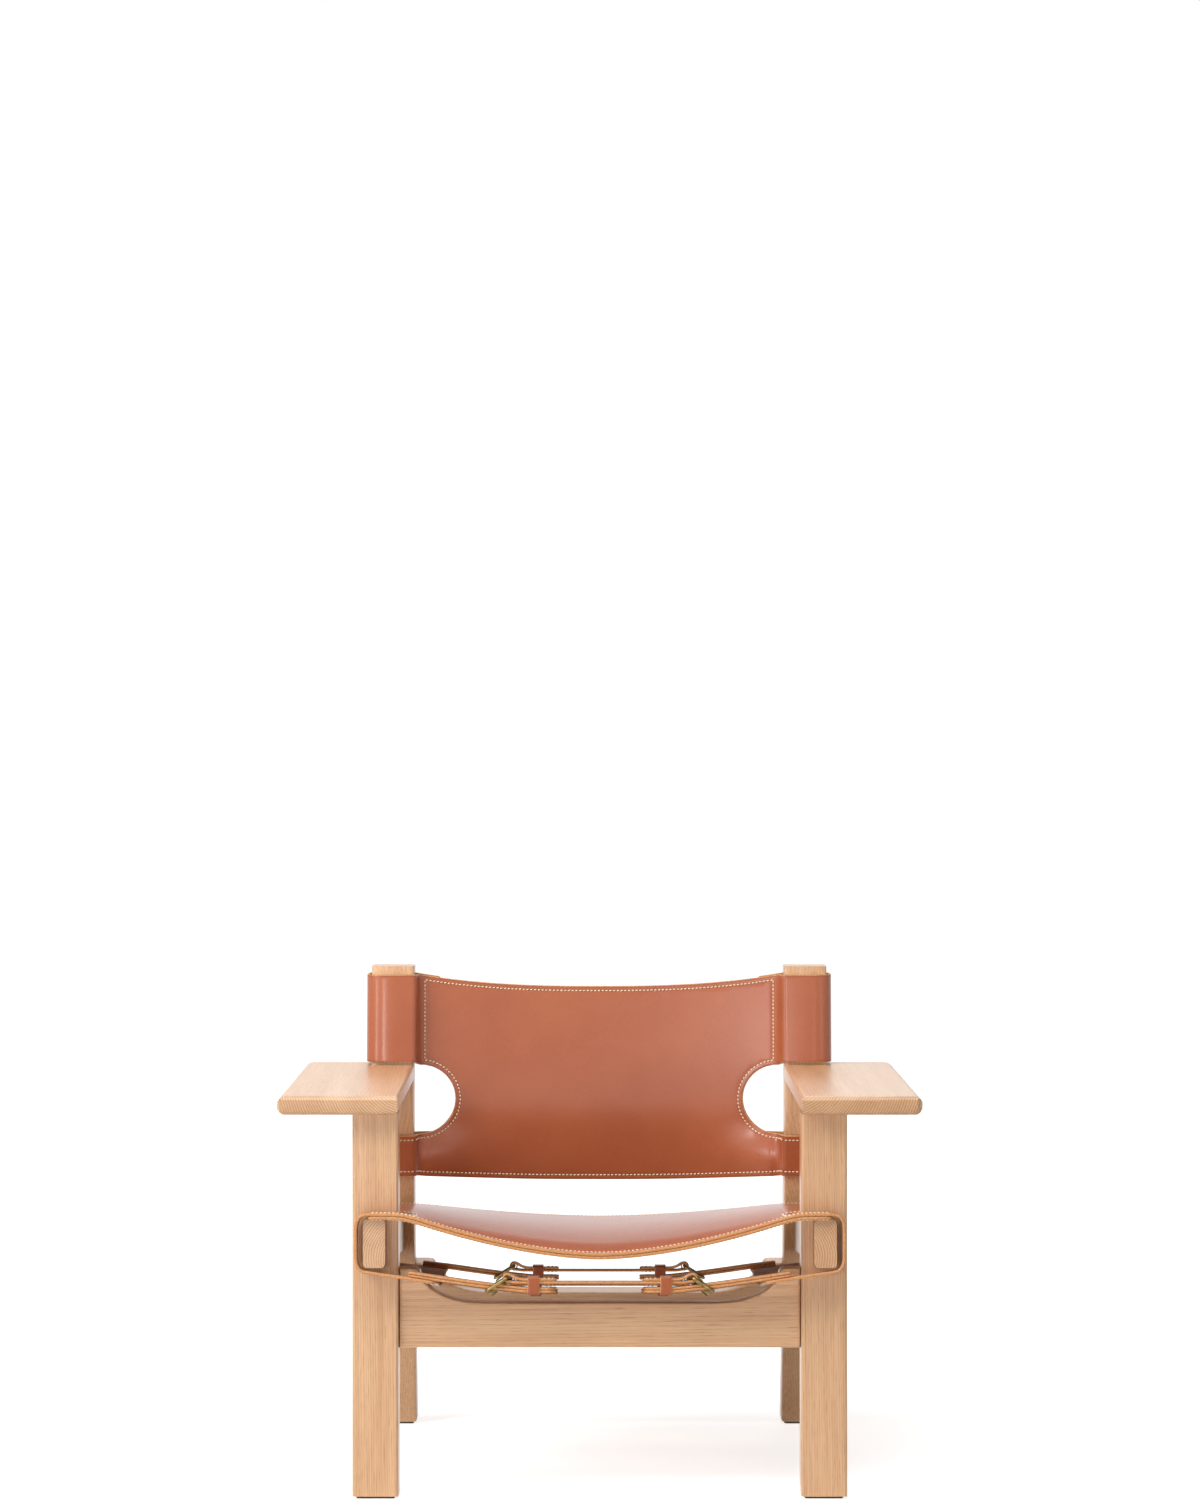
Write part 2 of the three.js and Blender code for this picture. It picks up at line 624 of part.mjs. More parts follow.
/** The back hide's middle line round the chair at a height, from its middle to the right billet's end. */
function backLine(z) {
  const gap = CLEARANCE + HIDE_THICKNESS / 2;
  const edge = legInner - gap - BACK_EDGE_TURN;
  const points = [];
  for (let i = 0; i < BACK_COLUMNS; i += 1) {
    const share = i / BACK_COLUMNS;
    const depth = BACK_SETBACK + BACK_SAG * (1 - share ** 2);
    points.push(vec2(share * edge, backPlane(z) - REAR_LEG_DEPTH + depth));
  }
  const front = postFront(z) - gap;
  const rear = postRear(z) + gap;
  const inner = legInner - gap;
  const outer = legOuter + BACK_OUTER_BULGE + HIDE_THICKNESS / 2;
  const path = new THREE.Path();
  path.moveTo(edge, backPlane(z) - REAR_LEG_DEPTH + BACK_SETBACK);
  path.quadraticCurveTo(inner, front + BACK_SETBACK, inner, front + LEG_EDGE);
  path.quadraticCurveTo(inner, front, legInner + LEG_EDGE / 2, front);
  path.lineTo(legOuter - LEG_EDGE, front);
  path.quadraticCurveTo(outer, front, outer, front + 2 * LEG_EDGE);
  path.lineTo(outer, rear - 2 * LEG_EDGE);
  path.quadraticCurveTo(outer, rear, legOuter - LEG_EDGE, rear);
  path.lineTo(legInner, rear);
  const strapPlane = backPlane(z) + BACK_STRAP_DROP;
  const billet = billetLine(backBillet).map((point) => vec2(point.x, strapPlane - point.y));
  return [...points, ...path.getPoints(3), ...billet];
}

/** Height of an edge of the back that is curved from the middle to the sides. */
function backEdge(x, middle, side) {
  return lerp(middle, side, Math.min(Math.abs(x) / legInner, 1) ** BACK_EDGE_POWER);
}

/** A sheet across the back, made from lines at each height. */
function backSheet(lineAt, thickness) {
  const columns = lineAt(armMiddle);
  const grid = (distance) => {
    const rows = [];
    for (let i = 0; i <= BACK_ROWS; i += 1) {
      rows.push(columns.map((column, j) => {
        const low = backEdge(column.x, BACK_BOTTOM_CENTRE, BACK_BOTTOM_SIDE);
        const high = backEdge(column.x, backTopCentre, backTopSide);
        const z = lerp(low, high, i / BACK_ROWS);
        const point = offsetLine(lineAt(z), distance)[j];
        return new THREE.Vector3(point.x, point.y, z);
      }));
    }
    return rows;
  };
  return sheet(grid(-thickness / 2), grid(thickness / 2));
}

/** An outline seen from the front, extruded from one place along the chair to another. */
function throughBack(shape, front, rear) {
  return slab(shape, rear - front, 0, 5).applyMatrix4(FRONT_PLANE).translate(0, (front + rear) / 2, 0);
}

/** The right arm hole: the opening in the back beside the post, round the armrest. */
function armHole() {
  const inner = legInner - ARM_HOLE_INSET;
  const outer = legOuter + LEG_WIDTH;
  const dipped = armHoleTop - ARM_HOLE_DIP;
  const middle = (armHoleBottom + dipped) / 2;
  const turn = legInner - ARM_HOLE_TURN;
  const shape = new THREE.Shape();
  shape.moveTo(outer, armHoleTop);
  shape.lineTo(legInner, armHoleTop);
  shape.lineTo(turn, dipped);
  const pull = lerp(turn, inner, ARC_PULL);
  const pullUp = lerp(middle, dipped, ARC_PULL);
  const pullDown = lerp(middle, armHoleBottom, ARC_PULL);
  shape.bezierCurveTo(pull, dipped, inner, pullUp, inner, middle);
  shape.bezierCurveTo(inner, pullDown, pull, armHoleBottom, turn, armHoleBottom);
  shape.lineTo(outer, armHoleBottom);
  return throughBack(shape, KNEE_BACK - 2 * REAR_LEG_DEPTH, KNEE_BACK + 2 * REAR_LEG_DEPTH);
}

/** What is cut away behind the right of the back to leave two tapered wings with a billet each. */
function wingTrims() {
  const full = legInner - BACK_WING_INSET;
  const narrow = full - BACK_WING_TAPER;
  const end = BILLET_END - STRAP_WIDTH;
  const half = STRAP_WIDTH / 2;
  const top = backTopSide + STRAP_WIDTH;
  const bottom = BACK_BOTTOM_CENTRE - STRAP_WIDTH;
  const upper = backStrapUpper;
  const lower = backStrapLower;
  const outlines = [
    [[full, top], [full, backTopSide], [narrow, upper + half], [end, upper + half], [end, top]],
    [[full, armHoleTop], [narrow, upper - half], [end, upper - half],
      [end, lower + half], [narrow, lower + half], [full, armHoleBottom]],
    [[full, BACK_BOTTOM_SIDE], [narrow, lower - half], [end, lower - half], [end, bottom], [full, bottom]],
  ];
  const layers = HIDE_THICKNESS / 2 + CLEARANCE + LINING_THICKNESS;
  const panelRear = backPlane(BACK_BOTTOM_CENTRE) - REAR_LEG_DEPTH + BACK_SETBACK + BACK_SAG + layers;
  const wingFront = backPlane(backTopSide) + (BACK_STRAP_DROP - BILLET_RISE) / 2;
  const front = (panelRear + wingFront) / 2;
  return outlines.map((outline) => {
    const shape = new THREE.Shape(outline.map(([x, z]) => vec2(x, z)));
    return throughBack(shape, front, front + REAR_LEG_DEPTH);
  });
}

/** The back hide: panel, post wraps, tongues and billets in one piece. */
function backHide() {
  const whole = backSheet((z) => wholeLine(backLine(z)), HIDE_THICKNESS);
  const slots = ['upper', 'lower'].map((level) => prongSlot(backBillet).applyMatrix4(backStrapMatrix(level)));
  const right = [armHole(), ...wingTrims(), ...slots];
  return cut(whole, ...right, ...right.map(mirrored));
}

/** The back lining: the second layer behind the panel. */
function backLining() {
  const behind = HIDE_THICKNESS / 2 + CLEARANCE + LINING_THICKNESS / 2;
  const lineAt = (z) => offsetLine(wholeLine(backLine(z).slice(0, BACK_COLUMNS + 1)), behind);
  return cut(backSheet(lineAt, LINING_THICKNESS), armHole(), mirrored(armHole()));
}

// Strap assemblies. Each is drawn flat: x runs outward from the middle, y across the strap and z towards
// the chair. The middle of the centre strap lies at the origin.

const barRadius = Math.hypot(BAR_THICKNESS / 2, BAR_THICKNESS / 2 - BAR_EDGE);
const tipPlace = BUCKLE_PLACE + BUCKLE_LENGTH * Math.cos(BUCKLE_TILT);
const tipHeight = HEEL_LIFT - BUCKLE_LENGTH * Math.sin(BUCKLE_TILT);
const prongRest = BUCKLE_TILT + Math.asin((barRadius + CLEARANCE + PRONG_THICKNESS / 2) / BUCKLE_LENGTH);
const foldHeight = STRAP_THICKNESS + CLEARANCE;
const keeperOuterEnd = KEEPER_PLACE + KEEPER_LENGTH;
const seatBillet = { thickness: SEAT_BILLET_THICKNESS, rise: SEAT_BILLET_RISE };
const backBillet = { thickness: HIDE_THICKNESS, rise: BILLET_RISE };

/** A flat strip along a line, with its width at each point. */
function strip(points, thickness, widthAt) {
  const side = (distance) => [-0.5, 0.5].map((share) => offsetLine(points, distance)
    .map((point, j) => new THREE.Vector3(point.x, share * widthAt(j), point.y)));
  return sheet(side(thickness / 2), side(-thickness / 2));
}

/** Height of the middle of a billet where it lies on the buckle's tip bar. */
function billetOverTip(billet) {
  return tipHeight + barRadius + CLEARANCE + billet.thickness / 2;
}

/** The middle line of a billet from its flap, over the buckle's tip bar and under its heel, to its end. */
function billetLine(billet) {
  const curve = new THREE.SplineCurve([
    vec2(seatFlapEnd, billet.rise),
    vec2(tipPlace, billetOverTip(billet)),
    vec2(keeperOuterEnd, -BILLET_DROP),
    vec2(KEEPER_PLACE, -BILLET_DROP),
  ]);
  const free = [vec2(BILLET_END + BILLET_POINT, -BILLET_DROP), vec2(BILLET_END, -BILLET_DROP)];
  return [...curve.getPoints(BILLET_STEPS), ...free];
}

/** A centre strap, folded back round the heel bars of its two buckles. */
function centreStrap() {
  const radius = barRadius + TURNING_CLEARANCE + STRAP_THICKNESS / 2;
  const rise = BUCKLE_PLACE - 3 * radius;
  const middle = (rise + BUCKLE_PLACE) / 2;
  const landing = rise - 2 * radius;
  const line = new THREE.Path();
  line.moveTo(0, 0);
  line.lineTo(rise, 0);
  line.bezierCurveTo(middle, 0, middle, HEEL_LIFT - radius, BUCKLE_PLACE, HEEL_LIFT - radius);
  line.absarc(BUCKLE_PLACE, HEEL_LIFT, radius, -Math.PI / 2, Math.PI / 2, false);
  line.bezierCurveTo(middle, HEEL_LIFT + radius, middle, foldHeight, landing, foldHeight);
  line.lineTo(STRAP_FOLD_END, foldHeight);
  const whole = strip(wholeLine(line.getPoints(2)), STRAP_THICKNESS, () => STRAP_WIDTH);
  const slotLength = 4 * radius;
  const slot = block(slotLength, PRONG_WIDTH + 2 * SLOT_CLEARANCE, 8 * radius, BUCKLE_PLACE, 0, HEEL_LIFT);
  return cut(whole, slot, mirrored(slot));
}

/** The brass frame of a buckle, flat about its own centre. */
function buckleFrame() {
  const inside = STRAP_WIDTH + 2 * BUCKLE_SIDE_GAP;
  const shape = roundedRectangle(BUCKLE_LENGTH + BAR_THICKNESS, inside + 2 * BAR_THICKNESS, BAR_THICKNESS);
  shape.holes.push(roundedRectangle(BUCKLE_LENGTH - BAR_THICKNESS, inside, BAR_EDGE));
  return slab(shape, BAR_THICKNESS, BAR_EDGE, 1, 1);
}

/** A prong about its pivot, pointing along +X: a ring round the heel bar and an arm. */
function prong() {
  const sides = 4;
  const hole = (barRadius + TURNING_CLEARANCE) / Math.cos(Math.PI / (2 * sides));
  const ring = hole + PRONG_RING;
  const half = PRONG_THICKNESS / 2;
  const start = Math.asin(half / ring);
  const reach = BUCKLE_LENGTH + PRONG_OVERHANG;
  const shape = new THREE.Shape();
  shape.absarc(0, 0, ring, start, 2 * Math.PI - start, false);
  shape.absarc(reach - half, 0, half, -Math.PI / 2, Math.PI / 2, false);
  shape.holes.push(new THREE.Path().absarc(0, 0, hole, 0, 2 * Math.PI, true));
  return slab(shape, PRONG_WIDTH, 0, sides).rotateX(Math.PI / 2);
}

/** Where the prong crosses a billet's middle line when it points down by an angle. */
function prongCrossing(angle, billet) {
  const slope = (billetOverTip(billet) + BILLET_DROP) / (tipPlace - keeperOuterEnd);
  const drop = HEEL_LIFT - billetOverTip(billet) - slope * (BUCKLE_PLACE - tipPlace);
  const distance = drop / (Math.sin(angle) + slope * Math.cos(angle));
  return BUCKLE_PLACE + distance * Math.cos(angle);
}

/** The oblong hole in a billet that lets the prong through over its whole opening. */
function prongSlot(billet) {
  const half = billet.thickness / 2;
  const margin = (angle) => half / Math.tan(angle) + PRONG_THICKNESS / 2 / Math.sin(angle);
  const open = prongRest + PRONG_OPENING;
  const inner = prongCrossing(open, billet) - margin(open) - 2 * SLOT_CLEARANCE;
  const outer = prongCrossing(prongRest, billet) + margin(prongRest) + 2 * SLOT_CLEARANCE;
  const width = PRONG_WIDTH + 2 * SLOT_CLEARANCE;
  const shape = roundedRectangle(outer - inner, width, width / 3);
  return slab(shape, 2 * BILLET_DROP, 0, 2).translate((inner + outer) / 2, 0, -BILLET_DROP);
}

/** A keeper: a band round the folded strap and a billet. */
function keeper(billet) {
  const top = foldHeight + STRAP_THICKNESS / 2 + SLOT_CLEARANCE;
  const bottom = -BILLET_DROP - billet.thickness / 2 - SLOT_CLEARANCE;
  const width = STRAP_WIDTH + 2 * SLOT_CLEARANCE;
  const height = top - bottom;
  const walls = 2 * KEEPER_THICKNESS;
  const shape = roundedRectangle(width + walls, height + walls, KEEPER_THICKNESS);
  shape.holes.push(roundedRectangle(width, height, SLOT_CLEARANCE));
  return slab(shape, KEEPER_LENGTH, 0, 1)
    .applyMatrix4(SIDE_PLANE)
    .translate(KEEPER_PLACE + KEEPER_LENGTH / 2, 0, (top + bottom) / 2);
}

/** A billet sewn on to the seat's flap at a place along the chair. */
function sewnBillet(y) {
  const flap = seatFlap(y).map((point) => vec2(point.x, point.y - strapHeight(y)));
  const [under, end] = flap;
  const slope = (under.y - end.y) / (under.x - end.x);
  const start = vec2(end.x + BILLET_SEWN_LENGTH, SEAT_BILLET_RISE + slope * BILLET_SEWN_LENGTH);
  const points = [start, ...billetLine(seatBillet)];
  const last = points.length - 1;
  const width = (j) => (j === last ? STRAP_WIDTH * BILLET_POINT_WIDTH : STRAP_WIDTH);
  return cut(strip(points, SEAT_BILLET_THICKNESS, width), prongSlot(seatBillet));
}

/** Where the upper or the lower back strap lies, and how it is turned. */
function backStrapPlace(level) {
  const z = level === 'upper' ? backStrapUpper : backStrapLower;
  const rise = backStrapUpper - backStrapLower;
  const lean = (backPlane(backStrapUpper) - backPlane(backStrapLower)) / rise;
  return { position: [0, backPlane(z) + BACK_STRAP_DROP, z], turn: Math.atan2(1, lean) };
}

/** The same place as a matrix. */
function backStrapMatrix(level) {
  const { position, turn } = backStrapPlace(level);
  return new THREE.Matrix4().makeRotationX(turn).setPosition(...position);
}

// Finishes
const FINISHES = {
  oak: { color: 0xdcb78f, roughness: 0.55, metalness: 0 },
  leather: { color: 0xb4623b, roughness: 0.42, metalness: 0 },
  lining: { color: 0x9a5634, roughness: 0.6, metalness: 0 },
  strap: { color: 0xb8703f, roughness: 0.5, metalness: 0 },
  brass: { color: 0xa98a4e, roughness: 0.35, metalness: 1 },
  glide: { color: 0x2b2724, roughness: 0.8, metalness: 0 },
};

/** A named mesh with its own material. */
function piece(name, geometry, finish) {
  const mesh = new THREE.Mesh(geometry, new THREE.MeshStandardMaterial(FINISHES[finish]));
  mesh.name = name;
  return mesh;
}

/** The two meshes of a piece that stands on both sides of the chair. */
function pair(name, geometry, finish) {
  return [piece(`${name}_left`, mirrored(geometry), finish), piece(`${name}_right`, geometry, finish)];
}

/** One end of a strap: its buckle, prong, keeper and, under the seat, its sewn billet. */
function strapEnd(name, side, billet, sewn) {
  const frame = piece(`${name}_buckle_${side}`, buckleFrame(), 'brass');
  frame.position.set((BUCKLE_PLACE + tipPlace) / 2, 0, (HEEL_LIFT + tipHeight) / 2);
  frame.rotation.y = BUCKLE_TILT;
  const tongue = piece(`${name}_prong_${side}`, prong(), 'brass');
  tongue.position.set(BUCKLE_PLACE, 0, HEEL_LIFT);
  tongue.rotation.y = prongRest;
  const end = new THREE.Group();
  end.add(frame, tongue, piece(`${name}_keeper_${side}`, keeper(billet), 'strap'));
  if (sewn) {
    end.add(piece(`${name}_billet_${side}`, sewn, 'strap'));
  }
  end.rotation.z = side === 'left' ? Math.PI : 0;
  return end;
}

/** A strap with both of its ends. */
function strap(name, position, turn, billet, sewn = null) {
  const group = new THREE.Group();
  group.add(piece(name, centreStrap(), 'strap'));
  group.add(strapEnd(name, 'left', billet, sewn), strapEnd(name, 'right', billet, sewn));
  group.position.set(...position);
  group.rotation.x = turn;
  return group;
}

/** The oak frame on its glides. */
function oakFrame() {
  const frame = new THREE.Group();
  frame.add(...pair('front_leg', frontLeg(), 'oak'));
  frame.add(...pair('rear_leg', rearLeg(), 'oak'));
  frame.add(...pair('armrest', armrest(), 'oak'));
  frame.add(...pair('seat_rail', seatRail(), 'oak'));
  frame.add(piece('front_stretcher', placedFront(stretcher()), 'oak'));
  frame.add(piece('rear_stretcher', placedRear(stretcher()), 'oak'));
  frame.add(...pair('glide_front', glide(FRONT_LEG_DEPTH, FRONT_LEG_DEPTH / 2), 'glide'));
  frame.add(...pair('glide_rear', glide(REAR_LEG_DEPTH, postRear(legBottom) - REAR_LEG_DEPTH / 2), 'glide'));
  return frame;
}

/** The leather seat and back. */
function slings() {
  const leather = new THREE.Group();
  leather.add(piece('seat_hide', seatHide(), 'leather'));
  leather.add(piece('seat_lining', seatLining(), 'lining'));
  leather.add(piece('back_hide', backHide(), 'leather'));
  leather.add(piece('back_lining', backLining(), 'lining'));
  return leather;
}

/** The three straps under the seat and the two behind the back. */
function straps() {
  const group = new THREE.Group();
  const seatStraps = { front: seatStrapFront, middle: SEAT_STRAP_MIDDLE, rear: seatStrapRear };
  for (const [place, y] of Object.entries(seatStraps)) {
    group.add(strap(`seat_strap_${place}`, [0, y, strapHeight(y)], -RAIL_ANGLE, seatBillet, sewnBillet(y)));
  }
  for (const level of ['upper', 'lower']) {
    const { position, turn } = backStrapPlace(level);
    group.add(strap(`back_strap_${level}`, position, turn, backBillet));
  }
  return group;
}

const chair = new THREE.Group();
chair.add(oakFrame(), slings(), straps());
const outline = new THREE.Box3().setFromObject(chair, true);
chair.position.y = -(outline.min.y + outline.max.y) / 2;

export default chair;
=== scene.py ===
"""Leather sling lounge chair: soaped oak, two saddle leather slings and the buckled straps that hold them.

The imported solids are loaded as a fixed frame. The oak and the glides keep their solids and get their finishes
here. The leather, the thread and the brass are made here, each piece in the place that its solid holds.
Lengths are millimetres, and lengths along Y are measured from the front faces of the front legs, as the sizes
of the solids are. They become metres in the model's frame when a mesh is made.
"""

import logging
import math
from dataclasses import dataclass, field
from enum import Enum
from typing import Callable, Sequence

import bpy
import numpy as np
from mathutils import Euler, Matrix, Vector
from mathutils.geometry import delaunay_2d_cdt


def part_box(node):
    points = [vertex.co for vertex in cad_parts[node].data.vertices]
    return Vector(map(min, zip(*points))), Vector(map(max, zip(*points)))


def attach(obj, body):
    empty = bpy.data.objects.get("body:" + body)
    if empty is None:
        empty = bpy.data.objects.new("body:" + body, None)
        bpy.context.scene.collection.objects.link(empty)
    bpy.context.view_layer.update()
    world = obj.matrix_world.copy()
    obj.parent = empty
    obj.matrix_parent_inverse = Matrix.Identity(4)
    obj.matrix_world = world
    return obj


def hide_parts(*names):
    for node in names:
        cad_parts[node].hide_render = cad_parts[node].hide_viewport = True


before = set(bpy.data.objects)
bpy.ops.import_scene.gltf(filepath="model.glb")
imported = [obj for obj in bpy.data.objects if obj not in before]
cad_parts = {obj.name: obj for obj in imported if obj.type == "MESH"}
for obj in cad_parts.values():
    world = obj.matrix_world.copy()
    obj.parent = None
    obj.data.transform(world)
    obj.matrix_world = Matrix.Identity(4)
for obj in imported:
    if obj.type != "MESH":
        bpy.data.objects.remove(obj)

Array = np.ndarray
Colour = tuple[float, float, float, float]
Surface = Callable[[Array, Array], Array]
Socket = bpy.types.NodeSocket
Outputs = bpy.types.NodeOutputs
Tree = bpy.types.NodeTree
Piece = bpy.types.Object
Span = tuple[float, float]
Place = tuple[float, float, float]

MM = 0.001
CHAIR = "chair"
SOAP_IOR = 1.44
WAX_IOR = 1.5
WAVE_SHARE = math.pi / 10
NOISE_DETAIL = 4.0
TINY = 1e-9
CORNER_PARTS = 5
CORNER_ROOM = 2.2
SEAM_STEP = 6.0
STRAP_STEP = 3.0
STRAP_COLUMN_STEP = 4.5
STRAP_ROW_STEP = 4.2
WHITE = "#FFFFFF"
MATH = "ShaderNodeMath"
RANGE = "ShaderNodeMapRange"
MIX = "ShaderNodeMix"
NOISE = "ShaderNodeTexNoise"
BUMP = "ShaderNodeBump"
COORDS = "ShaderNodeTexCoord"
EDGE_WORD = "from_edge"
LINE_WORD = "pressed"
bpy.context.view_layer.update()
LOG = logging.getLogger("lounge_chair")


class Side(Enum):
    """The two sides of the chair, seen from the front."""

    LEFT = -1
    RIGHT = 1

    @property
    def word(self) -> str:
        """The side as the node names spell it."""
        return self.name.lower()


class GrainAxis(Enum):
    """The direction of a board's fibres, as the turn that brings it upright."""

    ACROSS = (0.0, -math.pi / 2, 0.0)
    ALONG = (math.pi / 2, 0.0, 0.0)
    UPRIGHT = (0.0, 0.0, 0.0)


def linear(code: str) -> Colour:
    """Turns an sRGB hex colour to linear.

    Args:
        code: The colour as #RRGGBB.

    Returns:
        The linear red, green and blue, with full cover.
    """
    shares = [int(code[i:i + 2], 16) / 255 for i in (1, 3, 5)]
    red, green, blue = (s / 12.92 if s <= 0.04045 else ((s + 0.055) / 1.055) ** 2.4 for s in shares)
    return red, green, blue, 1.0


def per(size: float) -> float:
    """Gives the texture scale at which a feature has a size in millimetres."""
    return 1.0 / (size * MM)


def add_node(tree: Tree, kind: str, inputs: dict | Sequence = (), **settings: object) -> Outputs:
    """Adds a node with its settings, values and links.

    Args:
        tree: The tree that gets the node.
        kind: The node's type name.
        inputs: Values, and outputs that feed it, by the names or numbers of its inputs or in their order.
        **settings: The node's own properties.

    Returns:
        The new node's outputs.
    """
    node = tree.nodes.new(kind)
    for name, value in settings.items():
        setattr(node, name, value)
    for name, value in inputs.items() if isinstance(inputs, dict) else enumerate(inputs):
        if isinstance(value, Socket):
            tree.links.new(value, node.inputs[name])
        else:
            node.inputs[name].default_value = value
    return node.outputs


@dataclass(frozen=True)
class Finish:
    """A material that is made once and shared by the pieces that have it."""

    name: str

    def material(self) -> bpy.types.Material:
        """Makes the material, or gives the one that was made before.

        Returns:
            The material.
        """
        made = bpy.data.materials.get(self.name)
        if made is None:
            made = bpy.data.materials.new(self.name)
            made.use_nodes = True
            tree = made.node_tree
            tree.nodes.clear()
            shader = add_node(tree, "ShaderNodeBsdfPrincipled", self.paint(tree))
            add_node(tree, "ShaderNodeOutputMaterial", {"Surface": shader[0]})
        return made

    def paint(self, tree: Tree) -> dict:
        """Gives the shader's inputs for a finish of this kind."""
        raise NotImplementedError(self.name)


@dataclass(frozen=True)
class SoapedOak(Finish):
    """European oak, planed and soaped: a pale, dry, satin board with fine dark pores along the grain.

    Growth rings run as soft bands along a face and as close arcs across an end. The open pores of the early
    wood show as fine short lines that lie lower than the face. Real pores are about 0.3 mm wide, and these
    are twice as wide, so that they show. The sawn ends drink the soap and are darker.
    """

    grain: GrainAxis
    centre: Place
    heart: Span
    tilt: Span = (0.0, 0.0)
    pale: str = "#D9AF85"
    deep: str = "#BE8E63"
    pore: str = "#8A5E3C"
    sawn: str = "#94683F"
    specular: float = 0.3
    roughness: float = 0.42
    soap: float = 0.9
    soap_roughness: float = 0.32
    ring_width: float = 3.2
    ring_waver: float = 5.0
    ring_tone: float = 0.28
    early_cut: Span = (0.0, 0.6)
    pore_width: float = 0.62
    pore_stretch: float = 34.0
    pore_cut: Span = (0.52, 0.70)
    pore_tone: float = 0.62
    pore_roughness: float = 0.2
    pore_relief: float = 0.35
    pore_depth: float = 0.25
    late_pores: float = 0.25
    fibre_width: float = 1.5
    fibre_stretch: float = 90.0
    fibre_cut: Span = (0.35, 0.68)
    fibre_tone: Span = (-0.12, 0.42)
    band_width: float = 26.0
    band_stretch: float = 20.0
    band_cut: Span = (0.32, 0.68)
    band_tone: Span = (0.0, 0.55)
    end_cut: Span = (0.55, 0.95)
    sawn_tone: float = 0.25
    sawn_ring_tone: float = 0.6

    def paint(self, tree: Tree) -> dict:
        """Draws rings about the tree's heart, pores and fibres along the grain and a broad drift of tone.

        Args:
            tree: The material's nodes.

        Returns:
            The shader's inputs.
        """
        roll, pitch, yaw = self.grain.value
        turn = Euler((roll + self.tilt[0], pitch + self.tilt[1], yaw))
        heart = Vector((self.heart[0] * MM, self.heart[1] * MM, 0.0))
        moved = heart - turn.to_matrix() @ Vector(self.centre)
        place = add_node(tree, COORDS)
        board = add_node(tree, "ShaderNodeMapping", (place["Object"], moved, turn))[0]
        across = add_node(tree, "ShaderNodeMapping", {0: place["Normal"], 2: turn}, vector_type="VECTOR")
        parts = add_node(tree, "ShaderNodeSeparateXYZ", (across[0],))
        squarely = add_node(tree, MATH, (parts["Z"],), operation="ABSOLUTE")[0]
        end = add_node(tree, RANGE, (squarely, *self.end_cut, 0.0, 1.0), interpolation_type="SMOOTHSTEP")[0]

        drift = self.streaks(tree, board, self.band_width, self.band_stretch)
        waver = (self.ring_waver * MM, self.ring_waver * MM, 0.0)
        waved = (drift["Color"], waver, board)
        bent = add_node(tree, "ShaderNodeVectorMath", waved, operation="MULTIPLY_ADD")
        spaced = {0: bent[0], "Scale": WAVE_SHARE * per(self.ring_width)}
        rings = add_node(tree, "ShaderNodeTexWave", spaced, wave_type="RINGS", rings_direction="Z",
                         wave_profile="SAW")["Fac"]
        early = add_node(tree, RANGE, (rings, *self.early_cut, 1.0, 0.0),
                         interpolation_type="SMOOTHSTEP")[0]

        specks = self.streaks(tree, board, self.pore_width, self.pore_stretch, 1.0)["Fac"]
        pores = add_node(tree, RANGE, (specks, *self.pore_cut, 0.0, 1.0))[0]
        open_wood = add_node(tree, MATH, (early, 1.0 - self.late_pores, self.late_pores),
                             operation="MULTIPLY_ADD")[0]
        shown = add_node(tree, MATH, (pores, open_wood), operation="MULTIPLY")[0]

        fibres = self.streaks(tree, board, self.fibre_width, self.fibre_stretch)["Fac"]
        tone = add_node(tree, RANGE, (drift["Fac"], *self.band_cut, *self.band_tone))[0]
        streak = add_node(tree, RANGE, (fibres, *self.fibre_cut, *self.fibre_tone))[0]
        mixed = add_node(tree, MATH, (tone, streak), operation="ADD")[0]
        shade = add_node(tree, MATH, (early, self.ring_tone, mixed), operation="MULTIPLY_ADD",
                         use_clamp=True)[0]
        face = add_node(tree, MIX, {0: shade, 6: linear(self.pale), 7: linear(self.deep)},
                        data_type="RGBA")[2]
        ringed = add_node(tree, MATH, (early, self.sawn_ring_tone, self.sawn_tone),
                          operation="MULTIPLY_ADD")[0]
        drunk = add_node(tree, MATH, (end, ringed), operation="MULTIPLY")[0]
        ends = add_node(tree, MIX, {0: drunk, 6: face, 7: linear(self.sawn)}, data_type="RGBA")[2]
        dark = add_node(tree, MATH, (shown, self.pore_tone), operation="MULTIPLY")[0]
        colour = add_node(tree, MIX, {0: dark, 6: ends, 7: linear(self.pore)}, data_type="RGBA")
        rough = add_node(tree, MATH, (shown, self.pore_roughness, self.roughness), operation="MULTIPLY_ADD")
        sunk = add_node(tree, MATH, (shown, -1.0), operation="MULTIPLY")[0]
        relief = {"Strength": self.pore_relief, "Distance": self.pore_depth * MM, "Height": sunk}
        return {"Base Color": colour[2], "Roughness": rough[0], "Normal": add_node(tree, BUMP, relief)[0],
                "Specular IOR Level": self.specular, "Coat Weight": self.soap,
                "Coat Roughness": self.soap_roughness, "Coat IOR": SOAP_IOR}

